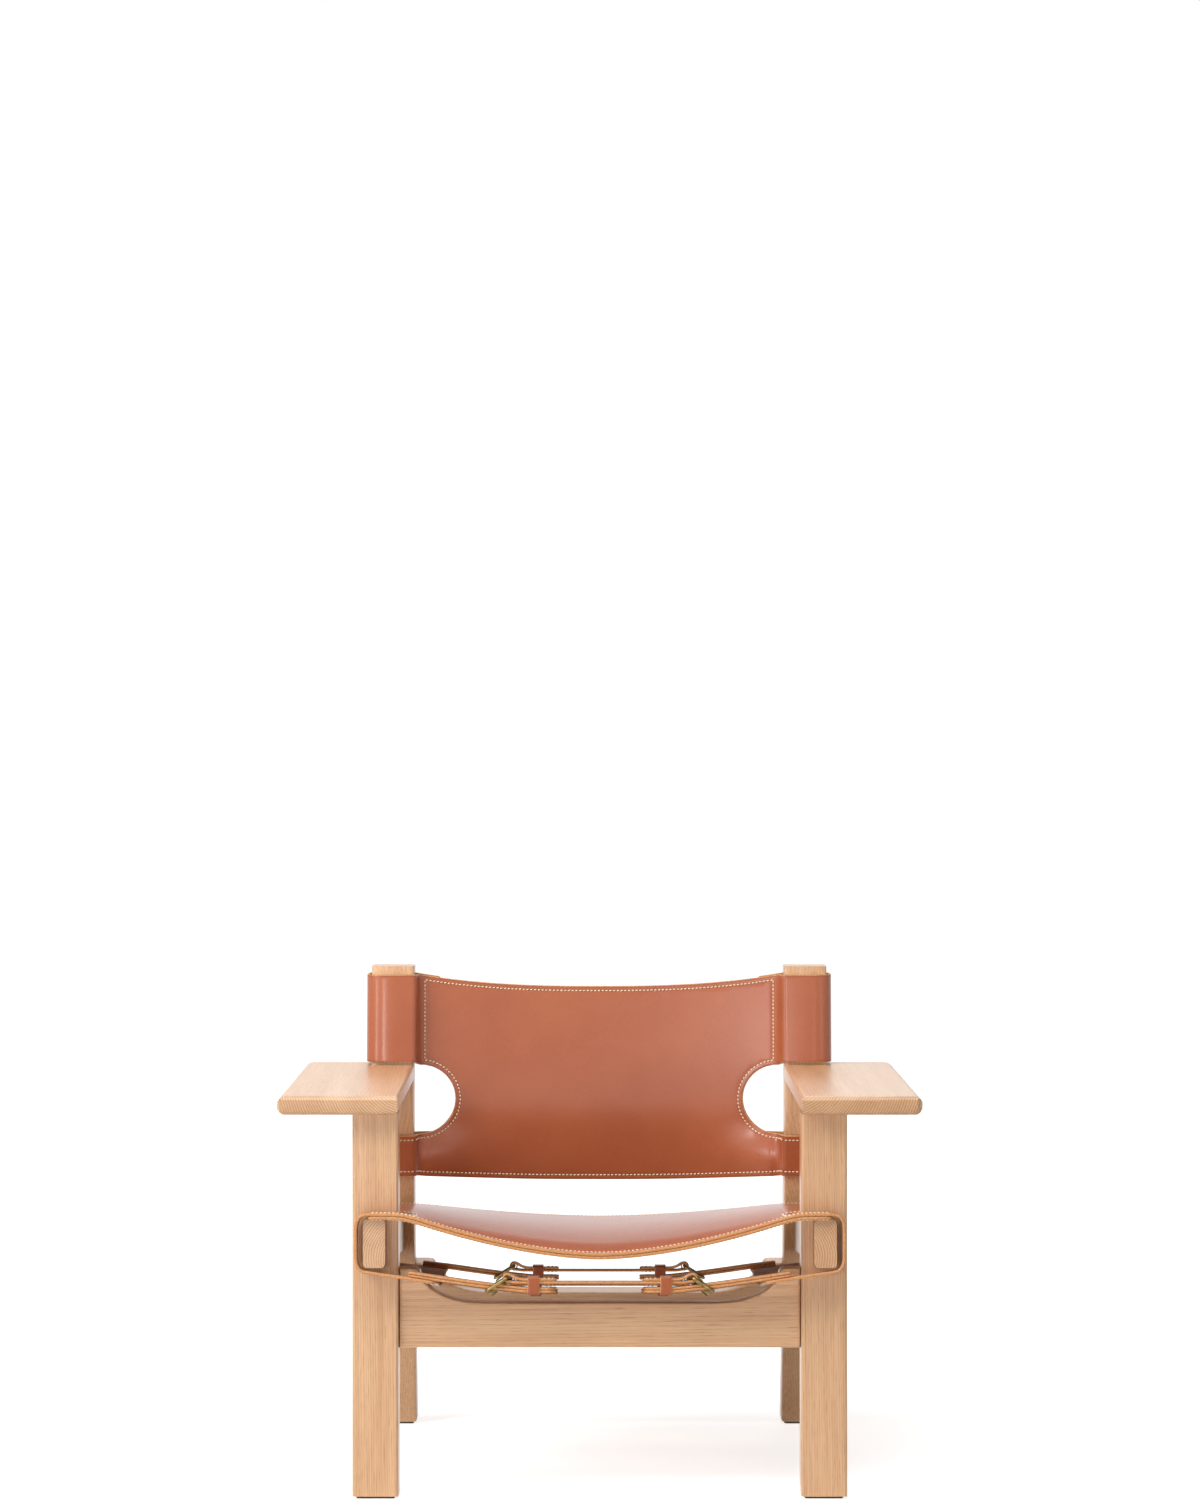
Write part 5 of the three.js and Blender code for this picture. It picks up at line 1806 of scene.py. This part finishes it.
    def wing(self, strap: float, low: float, high: float) -> Array:
        """Draws the wing that tapers to a billet, from its lower to its upper edge.

        Args:
            strap: The height of its strap.
            low: The height of the wing's lower edge.
            high: The height of its upper edge.

        Returns:
            The points on the pattern.
        """
        half = self.straps.width / 2
        full, narrow = self.across(self.wing_full, True), self.across(self.wing_narrow, True)
        point = self.straps.billet_point(self.lengths[-1], strap)
        corners = [(full, low), (narrow, strap - half), *point, (narrow, strap + half), (full, high)]
        return rounded(corners, self.wing_radius, closed=False)

    def outline(self) -> Array:
        """Draws the cut edge of the hide.

        Returns:
            The closed edge.
        """
        wing = float(self.across(self.wing_full, True))
        bottom, top = self.rims(steps(0.0, wing, SEAM_STEP))
        over_arm = self.hole_top + self.hole_rise
        round_post = [(float(self.across(self.oak.leg_inner)), over_arm)]
        lower = self.wing(self.strap_lower, bottom[-1, 1], self.hole_bottom)[1:]
        upper = self.wing(self.strap_upper, over_arm, top[-1, 1])[:-1]
        return closed_edge(np.vstack([bottom, lower, self.hole_edge(), round_post, upper, top[::-1]]))

    def seams(self, reach: float) -> list[Array]:
        """Draws the lines that sew the layers together, out to a distance from the middle.

        Args:
            reach: The distance.

        Returns:
            The lines on the pattern.
        """
        inset = self.stitch_inset
        side = float(self.across(self.side_seam))
        top = self.rims(steps(-side, side, SEAM_STEP))[1] - [0.0, inset]
        bottom = self.rims(steps(-reach, reach, SEAM_STEP))[0] + [0.0, inset]
        round_hole = self.hole_edge(inset)
        round_hole = round_hole[round_hole[:, 0] < side]
        hole = np.vstack([[(reach, self.hole_bottom - inset)], round_hole, [(side, self.hole_top + inset)]])
        upright = dense([(side, self.hole_top + inset), (side, top[-1, 1])], SEAM_STEP)
        return [top, bottom, *both_sides(dense(hole, SEAM_STEP)), *both_sides(upright)]

    def build(self) -> None:
        """Makes the hide, the lining and their stitches."""
        side = float(self.across(self.panel_edge))
        flat = steps(0.0, side - self.bend_reach, self.flat_step)
        wrap_end = float(self.across(self.wing_full, True))
        wrap = steps(flat[-1], wrap_end, self.wrap_step)[1:]
        half = np.concatenate([flat, wrap, steps(wrap_end, self.lengths[-1], self.billet_step)[1:]])
        rows = steps(self.bottom_centre, self.top_side, self.row_step)
        seams = self.seams(float(self.across(self.oak.leg_outer - self.corner_reach)))
        holes = []
        inner, outer = (float(self.across(x, True)) for x in self.straps.prong_slot())
        for level in (self.strap_lower, self.strap_upper):
            holes += both_sides(self.straps.slot_edge(outer, inner, level))
        height = self.top_side - self.bottom_centre
        cut = CutPattern(self.outline(), mirrored(half), rows, holes, seams)
        hide = Layer("back", "leather_hide", "back_hide", cut, (2 * self.lengths[-1], height), seams)
        under = CutPattern(self.lining_outline(side), cut.columns, cut.rows)
        within = [line[np.abs(line[:, 0]) < side - self.seam_margin] for line in seams]
        shown = [line for line in within if len(line) > 3]
        lining = Layer("back_rear", "leather_lining", "back_lining", under, (2 * side, height), shown)
        self.sew(hide, lining, ["rear_leg_left", "rear_leg_right"])

    def lining_outline(self, side: float) -> Array:
        """Draws the cut edge of the lining, which ends at a distance from the middle.

        Args:
            side: The distance.

        Returns:
            The closed edge.
        """
        bottom, top = self.rims(steps(0.0, side, SEAM_STEP))
        hole = self.hole_edge()
        margin = self.lining_margin
        hole = hole[hole[:, 0] < side - margin]
        ends = np.array([[side, hole[0, 1] - margin], [side, hole[-1, 1] + margin]])
        return closed_edge(np.vstack([bottom, ends[:1], hole, ends[1:], top[::-1]]))


@dataclass
class BuckledStrap:
    """A strap that pulls two billets together: folded leather, two buckles, two prongs and two keepers."""

    name: str
    oak: OakFrame
    bench: Workbench
    sizes: StrapSizes
    place: Matrix
    billet_slope: float | None = None
    bend_margin: float = 8.0
    bend_step: float = 1.6
    slot_margin: float = 5.0
    slot_step: float = 2.2
    band_step: float = 2.0
    band_margin: float = 1.0
    wire_step: float = 1.6

    def placed(self, points: Array, side: Side) -> Array:
        """Moves points from the strap's own frame to the chair, at the left or the right end.

        Args:
            points: The points, in millimetres.
            side: The end of the strap.

        Returns:
            The points in the chair's frame.
        """
        turned = points * [side.value, side.value, 1.0]
        matrix = np.array(self.place)
        return turned @ matrix[:3, :3].T + matrix[:3, 3]

    def strip(self, line: Array, way: float, side: Side) -> Surface:
        """Gives the surface of a strip of leather that follows a line.

        Args:
            line: The line, as places outward and towards the chair.
            way: Which way across the strip is taken, 1 or -1.
            side: The end of the strap.

        Returns:
            The surface.
        """

        def surface(u: Array, v: Array) -> Array:
            """Places points of the strip's pattern."""
            x, z = at_lengths(line, u).T
            return self.placed(np.stack([x, v * way, z], 1), side)

        return surface

    def centre_line(self) -> Array:
        """Draws the strap's middle line from one folded end round both heel bars to the other.

        Returns:
            Places outward and their heights.
        """
        s = self.sizes
        rise = s.buckle_place - 3 * s.fold_radius
        middle, landing = (rise + s.buckle_place) / 2, rise - 2 * s.fold_radius
        low, high = s.heel_lift - s.fold_radius, s.heel_lift + s.fold_radius
        turn = np.linspace(-math.pi / 2, math.pi / 2, 25)
        arc = spots(s.buckle_place + s.fold_radius * np.cos(turn), s.heel_lift + s.fold_radius * np.sin(turn))
        lower = bezier([(rise, 0.0), (middle, 0.0), (middle, low), (s.buckle_place, low)], 14)
        level = s.fold_height
        upper = bezier([(s.buckle_place, high), (middle, high), (middle, level), (landing, level)], 14)
        half = np.vstack([spots(steps(0.0, rise, STRAP_STEP), 0.0), lower[1:], arc[1:], upper[1:],
                          spots(steps(landing, s.fold_end, STRAP_STEP)[1:], s.fold_height)])
        return np.vstack([(half * [-1.0, 1.0])[:0:-1], half])

    def build_centre(self) -> None:
        """Makes the folded centre strap and the stitches that hold its folds."""
        s = self.sizes
        line = self.centre_line()
        lengths = run_length(line)
        half, total = s.width / 2, lengths[-1]
        reach = s.buckle_place - 2 * s.fold_radius
        bent = lengths[line[:, 0] > reach]
        start, stop = bent[0], bent[-1]
        holes = [s.slot_edge(start, stop), s.slot_edge(total - stop, total - start)]
        close = steps(start - self.bend_margin, stop + self.bend_margin, self.bend_step)
        columns = np.concatenate([steps(0.0, total, STRAP_COLUMN_STEP), close, total - close])
        edge = dense(rounded(oblong(0.0, total, half), s.corner), STRAP_STEP, closed=True)
        box_ends = (s.seam_inset, s.seam_length)
        beyond = [stop_of(lengths, line, s.fold_end + end) for end in box_ends]
        seams = []
        for near, far in (box_ends, beyond):
            low, high = -half + s.seam_inset, half - s.seam_inset
            box = dense([(far, low), (near, low), (near, high), (far, high)], STRAP_STEP)
            seams += [box, box * [-1.0, 1.0] + [total, 0.0]]
        cut = CutPattern(edge, columns, steps(-half, half, STRAP_ROW_STEP), holes, seams,
                         line_width=s.seam_width, line_depth=s.seam_depth, margin=s.point_margin)
        surface = self.strip(line, -1.0, Side.RIGHT)
        strap = self.bench.leather(f"{self.name}_leather", cut, surface, s.thickness, STRAP_FINISHES)
        seat_piece(strap, "leather_strap", [self.name])
        rise = s.thickness / 2 - cut.line_depth
        thread = self.bench.stitches(f"{self.name}_stitches", seams, surface, rise)
        seat_piece(thread, "leather_strap")
        cut.area()

    def build_billet(self, side: Side) -> None:
        """Makes the billet that is sewn to the seat's flap.

        Args:
            side: The end of the strap.
        """
        s = self.sizes
        start = (s.flap_end + s.sewn_length, s.billet_rise + self.billet_slope * s.sewn_length)
        line = np.vstack([bezier([start, (s.flap_end, s.billet_rise)], 12)[:-1], s.billet_line()])
        lengths = run_length(line)
        half, total = s.width / 2, lengths[-1]
        edge = rounded([(0.0, -half), *s.billet_point(total), (0.0, half)], s.corner)
        inner, outer = (stop_of(lengths, line, x) for x in s.prong_slot())
        holes = [s.slot_edge(outer, inner)]
        close = steps(outer - self.slot_margin, inner + self.slot_margin, self.slot_step)
        columns = np.concatenate([steps(0.0, total, STRAP_COLUMN_STEP), close])
        edge = dense(edge, STRAP_STEP, closed=True)
        cut = CutPattern(edge, columns, steps(-half, half, STRAP_ROW_STEP), holes, margin=s.point_margin)
        surface = self.strip(line, 1.0, side)
        name = f"{self.name}_billet_{side.word}"
        ply = (s.billet_thickness - s.clearance) / 2
        for word, way, nodes in (("upper", 1.0, [name]), ("lower", -1.0, [])):
            offset = way * (s.billet_thickness - ply) / 2
            billet = self.bench.leather(f"{name}_{word}_ply", cut, surface, ply, STRAP_FINISHES, offset)
            seat_piece(billet, "leather_strap", nodes)
            cut.area()

    def build_keeper(self, side: Side) -> None:
        """Makes the band that holds the billet to the strap, with its ends butted on the chair's side.

        Args:
            side: The end of the strap.
        """
        s = self.sizes
        wall = s.keeper_thickness / 2
        high = s.fold_height + s.thickness / 2 + s.slack + wall
        low = -s.billet_drop - s.billet_thickness / 2 - s.slack - wall
        half = s.width / 2 + s.slack + wall
        butt = s.keeper_butt
        corners = [(butt, high), (half, high), (half, low), (-half, low), (-half, high), (-butt, high)]
        line = rounded(corners, s.keeper_corner, closed=False)
        lengths = run_length(line)
        middle, reach = s.keeper_place + s.keeper_length / 2, s.keeper_length / 2

        def surface(u: Array, v: Array) -> Array:
            """Places points of the band's pattern."""
            y, z = at_lengths(line, u).T
            return self.placed(np.stack([middle - v, y, z], 1), side)

        total = lengths[-1]
        edge = dense(oblong(0.0, total, reach), self.band_step, closed=True)
        columns = np.concatenate([lengths, steps(0.0, total, self.band_step)])
        cut = CutPattern(edge, columns, steps(-reach, reach, STRAP_STEP), margin=self.band_margin)
        name = f"{self.name}_keeper_{side.word}"
        band = self.bench.leather(f"{name}_leather", cut, surface, s.keeper_thickness, STRAP_FINISHES)
        seat_piece(band, "leather_strap", [name])
        cut.area()

    def build_buckle(self, side: Side) -> None:
        """Makes the cast frame as one round bar with no joint.

        Args:
            side: The end of the strap.
        """
        s = self.sizes
        long, wide = s.buckle_length / 2, s.buckle_width / 2
        flat = dense(rounded(oblong(-long, long, wide), s.buckle_corner), self.wire_step, closed=True)
        lean = np.array([math.cos(s.buckle_tilt), 0.0, -math.sin(s.buckle_tilt)])
        middle = np.array([(s.buckle_place + s.tip_place) / 2, 0.0, (s.heel_lift + s.tip_height) / 2])
        line = middle + flat[:, :1] * lean + flat[:, 1:] * [0.0, 1.0, 0.0]
        radius = np.full(len(line), s.bar_radius)
        bar = swept(line, radius, radius, closed=True)
        name = f"{self.name}_buckle_{side.word}"
        faces = tube_faces(len(line), bar.shape[1], closed=True)
        points = self.oak.to_model(self.placed(bar.reshape(-1, 3), side))
        seat_piece(new_piece(f"{name}_frame", points, faces, [BRASS]), "brass", [name])

    def build_prong(self, side: Side) -> None:
        """Makes the prong: a flat wire bent round the heel bar, with an arm that tapers to its tip.

        Args:
            side: The end of the strap.
        """
        s = self.sizes
        ring = (s.bar_reach + s.slack) / math.cos(math.pi / 8) + s.prong_ring / 2
        turn = np.radians(np.arange(*s.prong_turn))
        wire = spots(ring * np.cos(turn), ring * np.sin(turn))
        tip = s.buckle_length + s.prong_overhang
        supports = [wire[-1], (ring + 0.9, 1.0), (8.0, 0.0), (tip * 0.6, 0.0), (tip - 0.8, -0.2)]
        line = np.vstack([wire[:-1], flowing(supports, 7)])
        share = np.clip(run_length(line) / run_length(line)[-1], 0.0, 1.0)
        along, taper = portion(share, *s.prong_swell), portion(share, *s.prong_taper)
        thick = s.prong_ring / 2 + (s.prong_thickness - s.prong_ring) / 2 * along
        thick = thick * (1 - s.prong_thinner * taper ** s.prong_thinner_power)
        broad = s.prong_width / 2 * (1 - s.prong_narrower * taper)
        ends = np.minimum(1.0, np.sqrt(np.maximum((1 - share) * s.prong_tip_curve, s.prong_tip_end)))
        level, steep = math.cos(s.prong_rest), math.sin(s.prong_rest)
        tilt = np.array([[level, -steep], [steep, level]])
        spun = line @ tilt
        path = np.stack([s.buckle_place + spun[:, 0], np.zeros(len(spun)), s.heel_lift + spun[:, 1]], 1)
        bar = swept(path, broad * ends, thick * ends)
        name = f"{self.name}_prong_{side.word}"
        points = self.oak.to_model(self.placed(bar.reshape(-1, 3), side))
        faces = tube_faces(len(path), bar.shape[1])
        seat_piece(new_piece(f"{name}_wire", points, faces, [BRASS]), "brass", [name], name)

    def build(self) -> None:
        """Makes every piece of the strap."""
        self.build_centre()
        for side in Side:
            self.build_buckle(side)
            self.build_prong(side)
            self.build_keeper(side)
            if self.billet_slope is not None:
                self.build_billet(side)


def stop_of(lengths: Array, line: Array, x: float) -> float:
    """Gives the length along a strip where it first comes to a place outward.

    Args:
        lengths: Lengths along the strip.
        line: Its middle line.
        x: The place outward.

    Returns:
        The length there.
    """
    beyond = (line[:-1, 0] - x) * (line[1:, 0] - x) <= 0
    first = int(np.argmax(beyond))
    span = line[first + 1, 0] - line[first, 0]
    share = (x - line[first, 0]) / span if span else 0.0
    return float(lengths[first] + (lengths[first + 1] - lengths[first]) * share)


def swept(path: Array, broad: Array, thick: Array, closed: bool = False, sides: int = 14) -> Array:
    """Sweeps an oval along a path that lies in a plane.

    Args:
        path: The path's points.
        broad: The oval's half width across the path's plane or, where the path is level, along y.
        thick: Its other half width.
        closed: Whether the path runs back to its start.
        sides: How many points an oval has.

    Returns:
        A ring of points for each point of the path.
    """
    if closed:
        run = np.roll(path, -1, axis=0) - np.roll(path, 1, axis=0)
        flat = unit(np.cross(run[0], run[len(run) // 4]))
    else:
        run = np.gradient(path, axis=0)
        flat = np.array([0.0, 1.0, 0.0])
    run = unit(run)
    across = np.broadcast_to(flat, run.shape)
    beside = unit(np.cross(run, across))
    turn = full_turn(sides)
    return (path[:, None] + across[:, None] * (broad[:, None] * np.cos(turn))[..., None]
            + beside[:, None] * (thick[:, None] * np.sin(turn))[..., None])


@dataclass(frozen=True)
class StudioPaper(Finish):
    """Matt white seamless paper with a painted glow that the camera and reflections see: dimmer near the chair,
    so that the chair's soft shadow shows there, and brighter away from it.
    """

    colour: str = "#EDEBE8"
    glow: float = 0.74
    far_glow: float = 0.96
    near: float = 0.9
    far: float = 3.4
    roughness: float = 0.9

    def paint(self, tree: Tree) -> dict:
        """Adds a painted glow that the camera and reflections see, and that grows away from the chair.

        Args:
            tree: The material's nodes.

        Returns:
            The shader's inputs.
        """
        place = add_node(tree, COORDS)["Object"]
        away = add_node(tree, "ShaderNodeVectorMath", (place,), operation="LENGTH")["Value"]
        # painted glow: dimmer near the chair and brighter away from it
        level = add_node(tree, RANGE, (away, self.near, self.far, self.glow, self.far_glow),
                         interpolation_type="SMOOTHSTEP")[0]
        glow = add_node(tree, MATH, (seen_directly(tree), level), operation="MULTIPLY")
        return {"Emission Strength": glow[0], "Base Color": linear(self.colour),
                "Emission Color": linear(WHITE), "Roughness": self.roughness, "Specular IOR Level": 0.0}


def seen_directly(tree: Tree) -> Socket:
    """Tells the rays that look straight at a surface, or at its image, from the rays that only light it.

    Args:
        tree: The nodes of a material or of the world.

    Returns:
        An output that is 1 for camera, glossy and transmitted rays, and 0 for the rest.
    """
    path = add_node(tree, "ShaderNodeLightPath")
    shine = add_node(tree, MATH, (path["Is Camera Ray"], path["Is Glossy Ray"]), operation="MAXIMUM")
    either = (shine[0], path["Is Transmission Ray"])
    return add_node(tree, MATH, either, operation="MAXIMUM")[0]


@dataclass(frozen=True)
class SoftBox:
    """A large soft lamp: where it stands, what it points at, its size in metres and its power in watts."""

    name: str
    place: Place
    aim: Place
    size: Span
    power: float

    def build(self) -> None:
        """Hangs the lamp."""
        light = bpy.data.lights.new(self.name, "AREA")
        light.shape = "RECTANGLE"
        light.size, light.size_y = self.size
        light.energy = self.power
        lamp = bpy.data.objects.new(self.name, light)
        lamp.visible_camera = False
        lamp.location = self.place
        lamp.rotation_euler = (Vector(self.aim) - Vector(self.place)).to_track_quat("-Z", "Y").to_euler()
        bpy.context.scene.collection.objects.link(lamp)


@dataclass
class Studio:
    """The white studio: camera, seamless paper, even surroundings and soft lamps."""

    camera_place: Place = (-0.010, -5.1031, 0.995)
    camera_lens: float = 90.744
    camera_shift: Span = (0.00533, -0.01867)
    floor_reach: float = 12.0
    fill: float = 0.13
    lamps: tuple[SoftBox, ...] = (
        SoftBox("overhead_box", (-0.3, -1.2, 2.9), (0.0, 0.0, 0.35), (2.2, 1.6), 58.0),
        SoftBox("key_box", (-2.7, -1.8, 2.7), (0.0, 0.0, 0.4), (2.0, 2.0), 97.0),
        SoftBox("left_card", (-1.05, -4.3, 0.7), (0.0, 0.0, 0.5), (0.4, 0.7), 20.0),
        SoftBox("right_card", (1.05, -4.3, 0.7), (0.0, 0.0, 0.5), (0.4, 0.7), 2.5),
        SoftBox("left_strip", (-2.6, -3.2, 0.6), (0.0, 0.0, 0.5), (0.25, 1.2), 14.0),
        SoftBox("right_strip", (2.6, -3.2, 0.6), (0.0, 0.0, 0.5), (0.4, 1.2), 3.0),
        SoftBox("rear_box", (0.4, 3.0, 2.8), (0.0, 0.0, 0.45), (1.8, 1.2), 14.0),
    )

    def build(self) -> None:
        """Sets up the camera, the floor, the surroundings and the lamps."""
        scene = bpy.context.scene
        scene.view_settings.view_transform = "Standard"
        lens = bpy.data.cameras.new("photo_camera")
        lens.lens = self.camera_lens
        lens.shift_x, lens.shift_y = self.camera_shift
        camera = bpy.data.objects.new("photo_camera", lens)
        camera.location = self.camera_place
        camera.rotation_euler = (math.pi / 2, 0.0, 0.0)
        scene.collection.objects.link(camera)
        scene.camera = camera
        self.lay_floor()
        self.light_surroundings(scene)
        for lamp in self.lamps:
            lamp.build()

    def lay_floor(self) -> None:
        """Lays the paper under the chair."""
        reach = self.floor_reach
        corners = np.array([(x, y, 0.0) for x, y in oblong(-reach, reach, reach)])
        floor = new_piece("paper_floor", corners, [[0, 1, 2, 3]], [StudioPaper("seamless_white_paper")])

    def light_surroundings(self, scene: bpy.types.Scene) -> None:
        """Makes the surroundings white to the camera, and a softer fill for the rest.

        Args:
            scene: The scene.
        """
        world = bpy.data.worlds.new("white_studio")
        world.use_nodes = True
        tree = world.node_tree
        tree.nodes.clear()
        level = add_node(tree, RANGE, (seen_directly(tree), 0.0, 1.0, self.fill, 1.0))[0]
        shade = add_node(tree, "ShaderNodeBackground", {"Color": linear(WHITE), "Strength": level})
        add_node(tree, "ShaderNodeOutputWorld", {"Surface": shade[0]})
        scene.world = world


def seat_straps(seat: SeatSling) -> list[BuckledStrap]:
    """Places the three straps under the seat.

    Args:
        seat: The seat that they hold.

    Returns:
        The straps, front to rear.
    """
    straps = []
    for word, y in (("front", seat.strap_front), ("middle", seat.strap_middle), ("rear", seat.strap_rear)):
        at = np.array([y])
        under, end = seat.flap(at)
        slope = float((under[0, 1] - end[0, 1]) / (under[0, 0] - end[0, 0]))
        spot = Matrix.Translation((0.0, y, float(seat.strap_height(at)[0])))
        place = spot @ Matrix.Rotation(-seat.oak.rail_slope, 4, "X")
        straps.append(BuckledStrap(f"seat_strap_{word}", seat.oak, seat.bench, seat.straps, place, slope))
    return straps


def back_straps(back: BackSling) -> list[BuckledStrap]:
    """Places the two straps behind the back.

    Args:
        back: The back that they hold.

    Returns:
        The straps, upper first.
    """
    levels = {"upper": back.strap_upper, "lower": back.strap_lower}
    rear = {word: float(back.plane(np.array(z))) for word, z in levels.items()}
    lean = (rear["upper"] - rear["lower"]) / (back.strap_upper - back.strap_lower)
    straps = []
    for word, z in levels.items():
        spot = Matrix.Translation((0.0, rear[word] + back.strap_drop, z))
        place = spot @ Matrix.Rotation(math.atan2(1.0, lean), 4, "X")
        straps.append(BuckledStrap(f"back_strap_{word}", back.oak, back.bench, back.straps, place))
    return straps


def main() -> None:
    """Builds the studio, dresses the oak and makes the leather and the brass."""
    logging.basicConfig(level=logging.INFO, format="%(message)s")
    Studio().build()
    oak = OakFrame()
    oak.dress()
    bench = Workbench(oak)
    seat = SeatSling(oak, bench, StrapSizes(billet_thickness=7.0, billet_rise=5.5))
    seat.build()
    back = BackSling(oak, bench, StrapSizes())
    back.build()
    for strap in [*seat_straps(seat), *back_straps(back)]:
        strap.build()


if __name__ == "__main__":
    main()
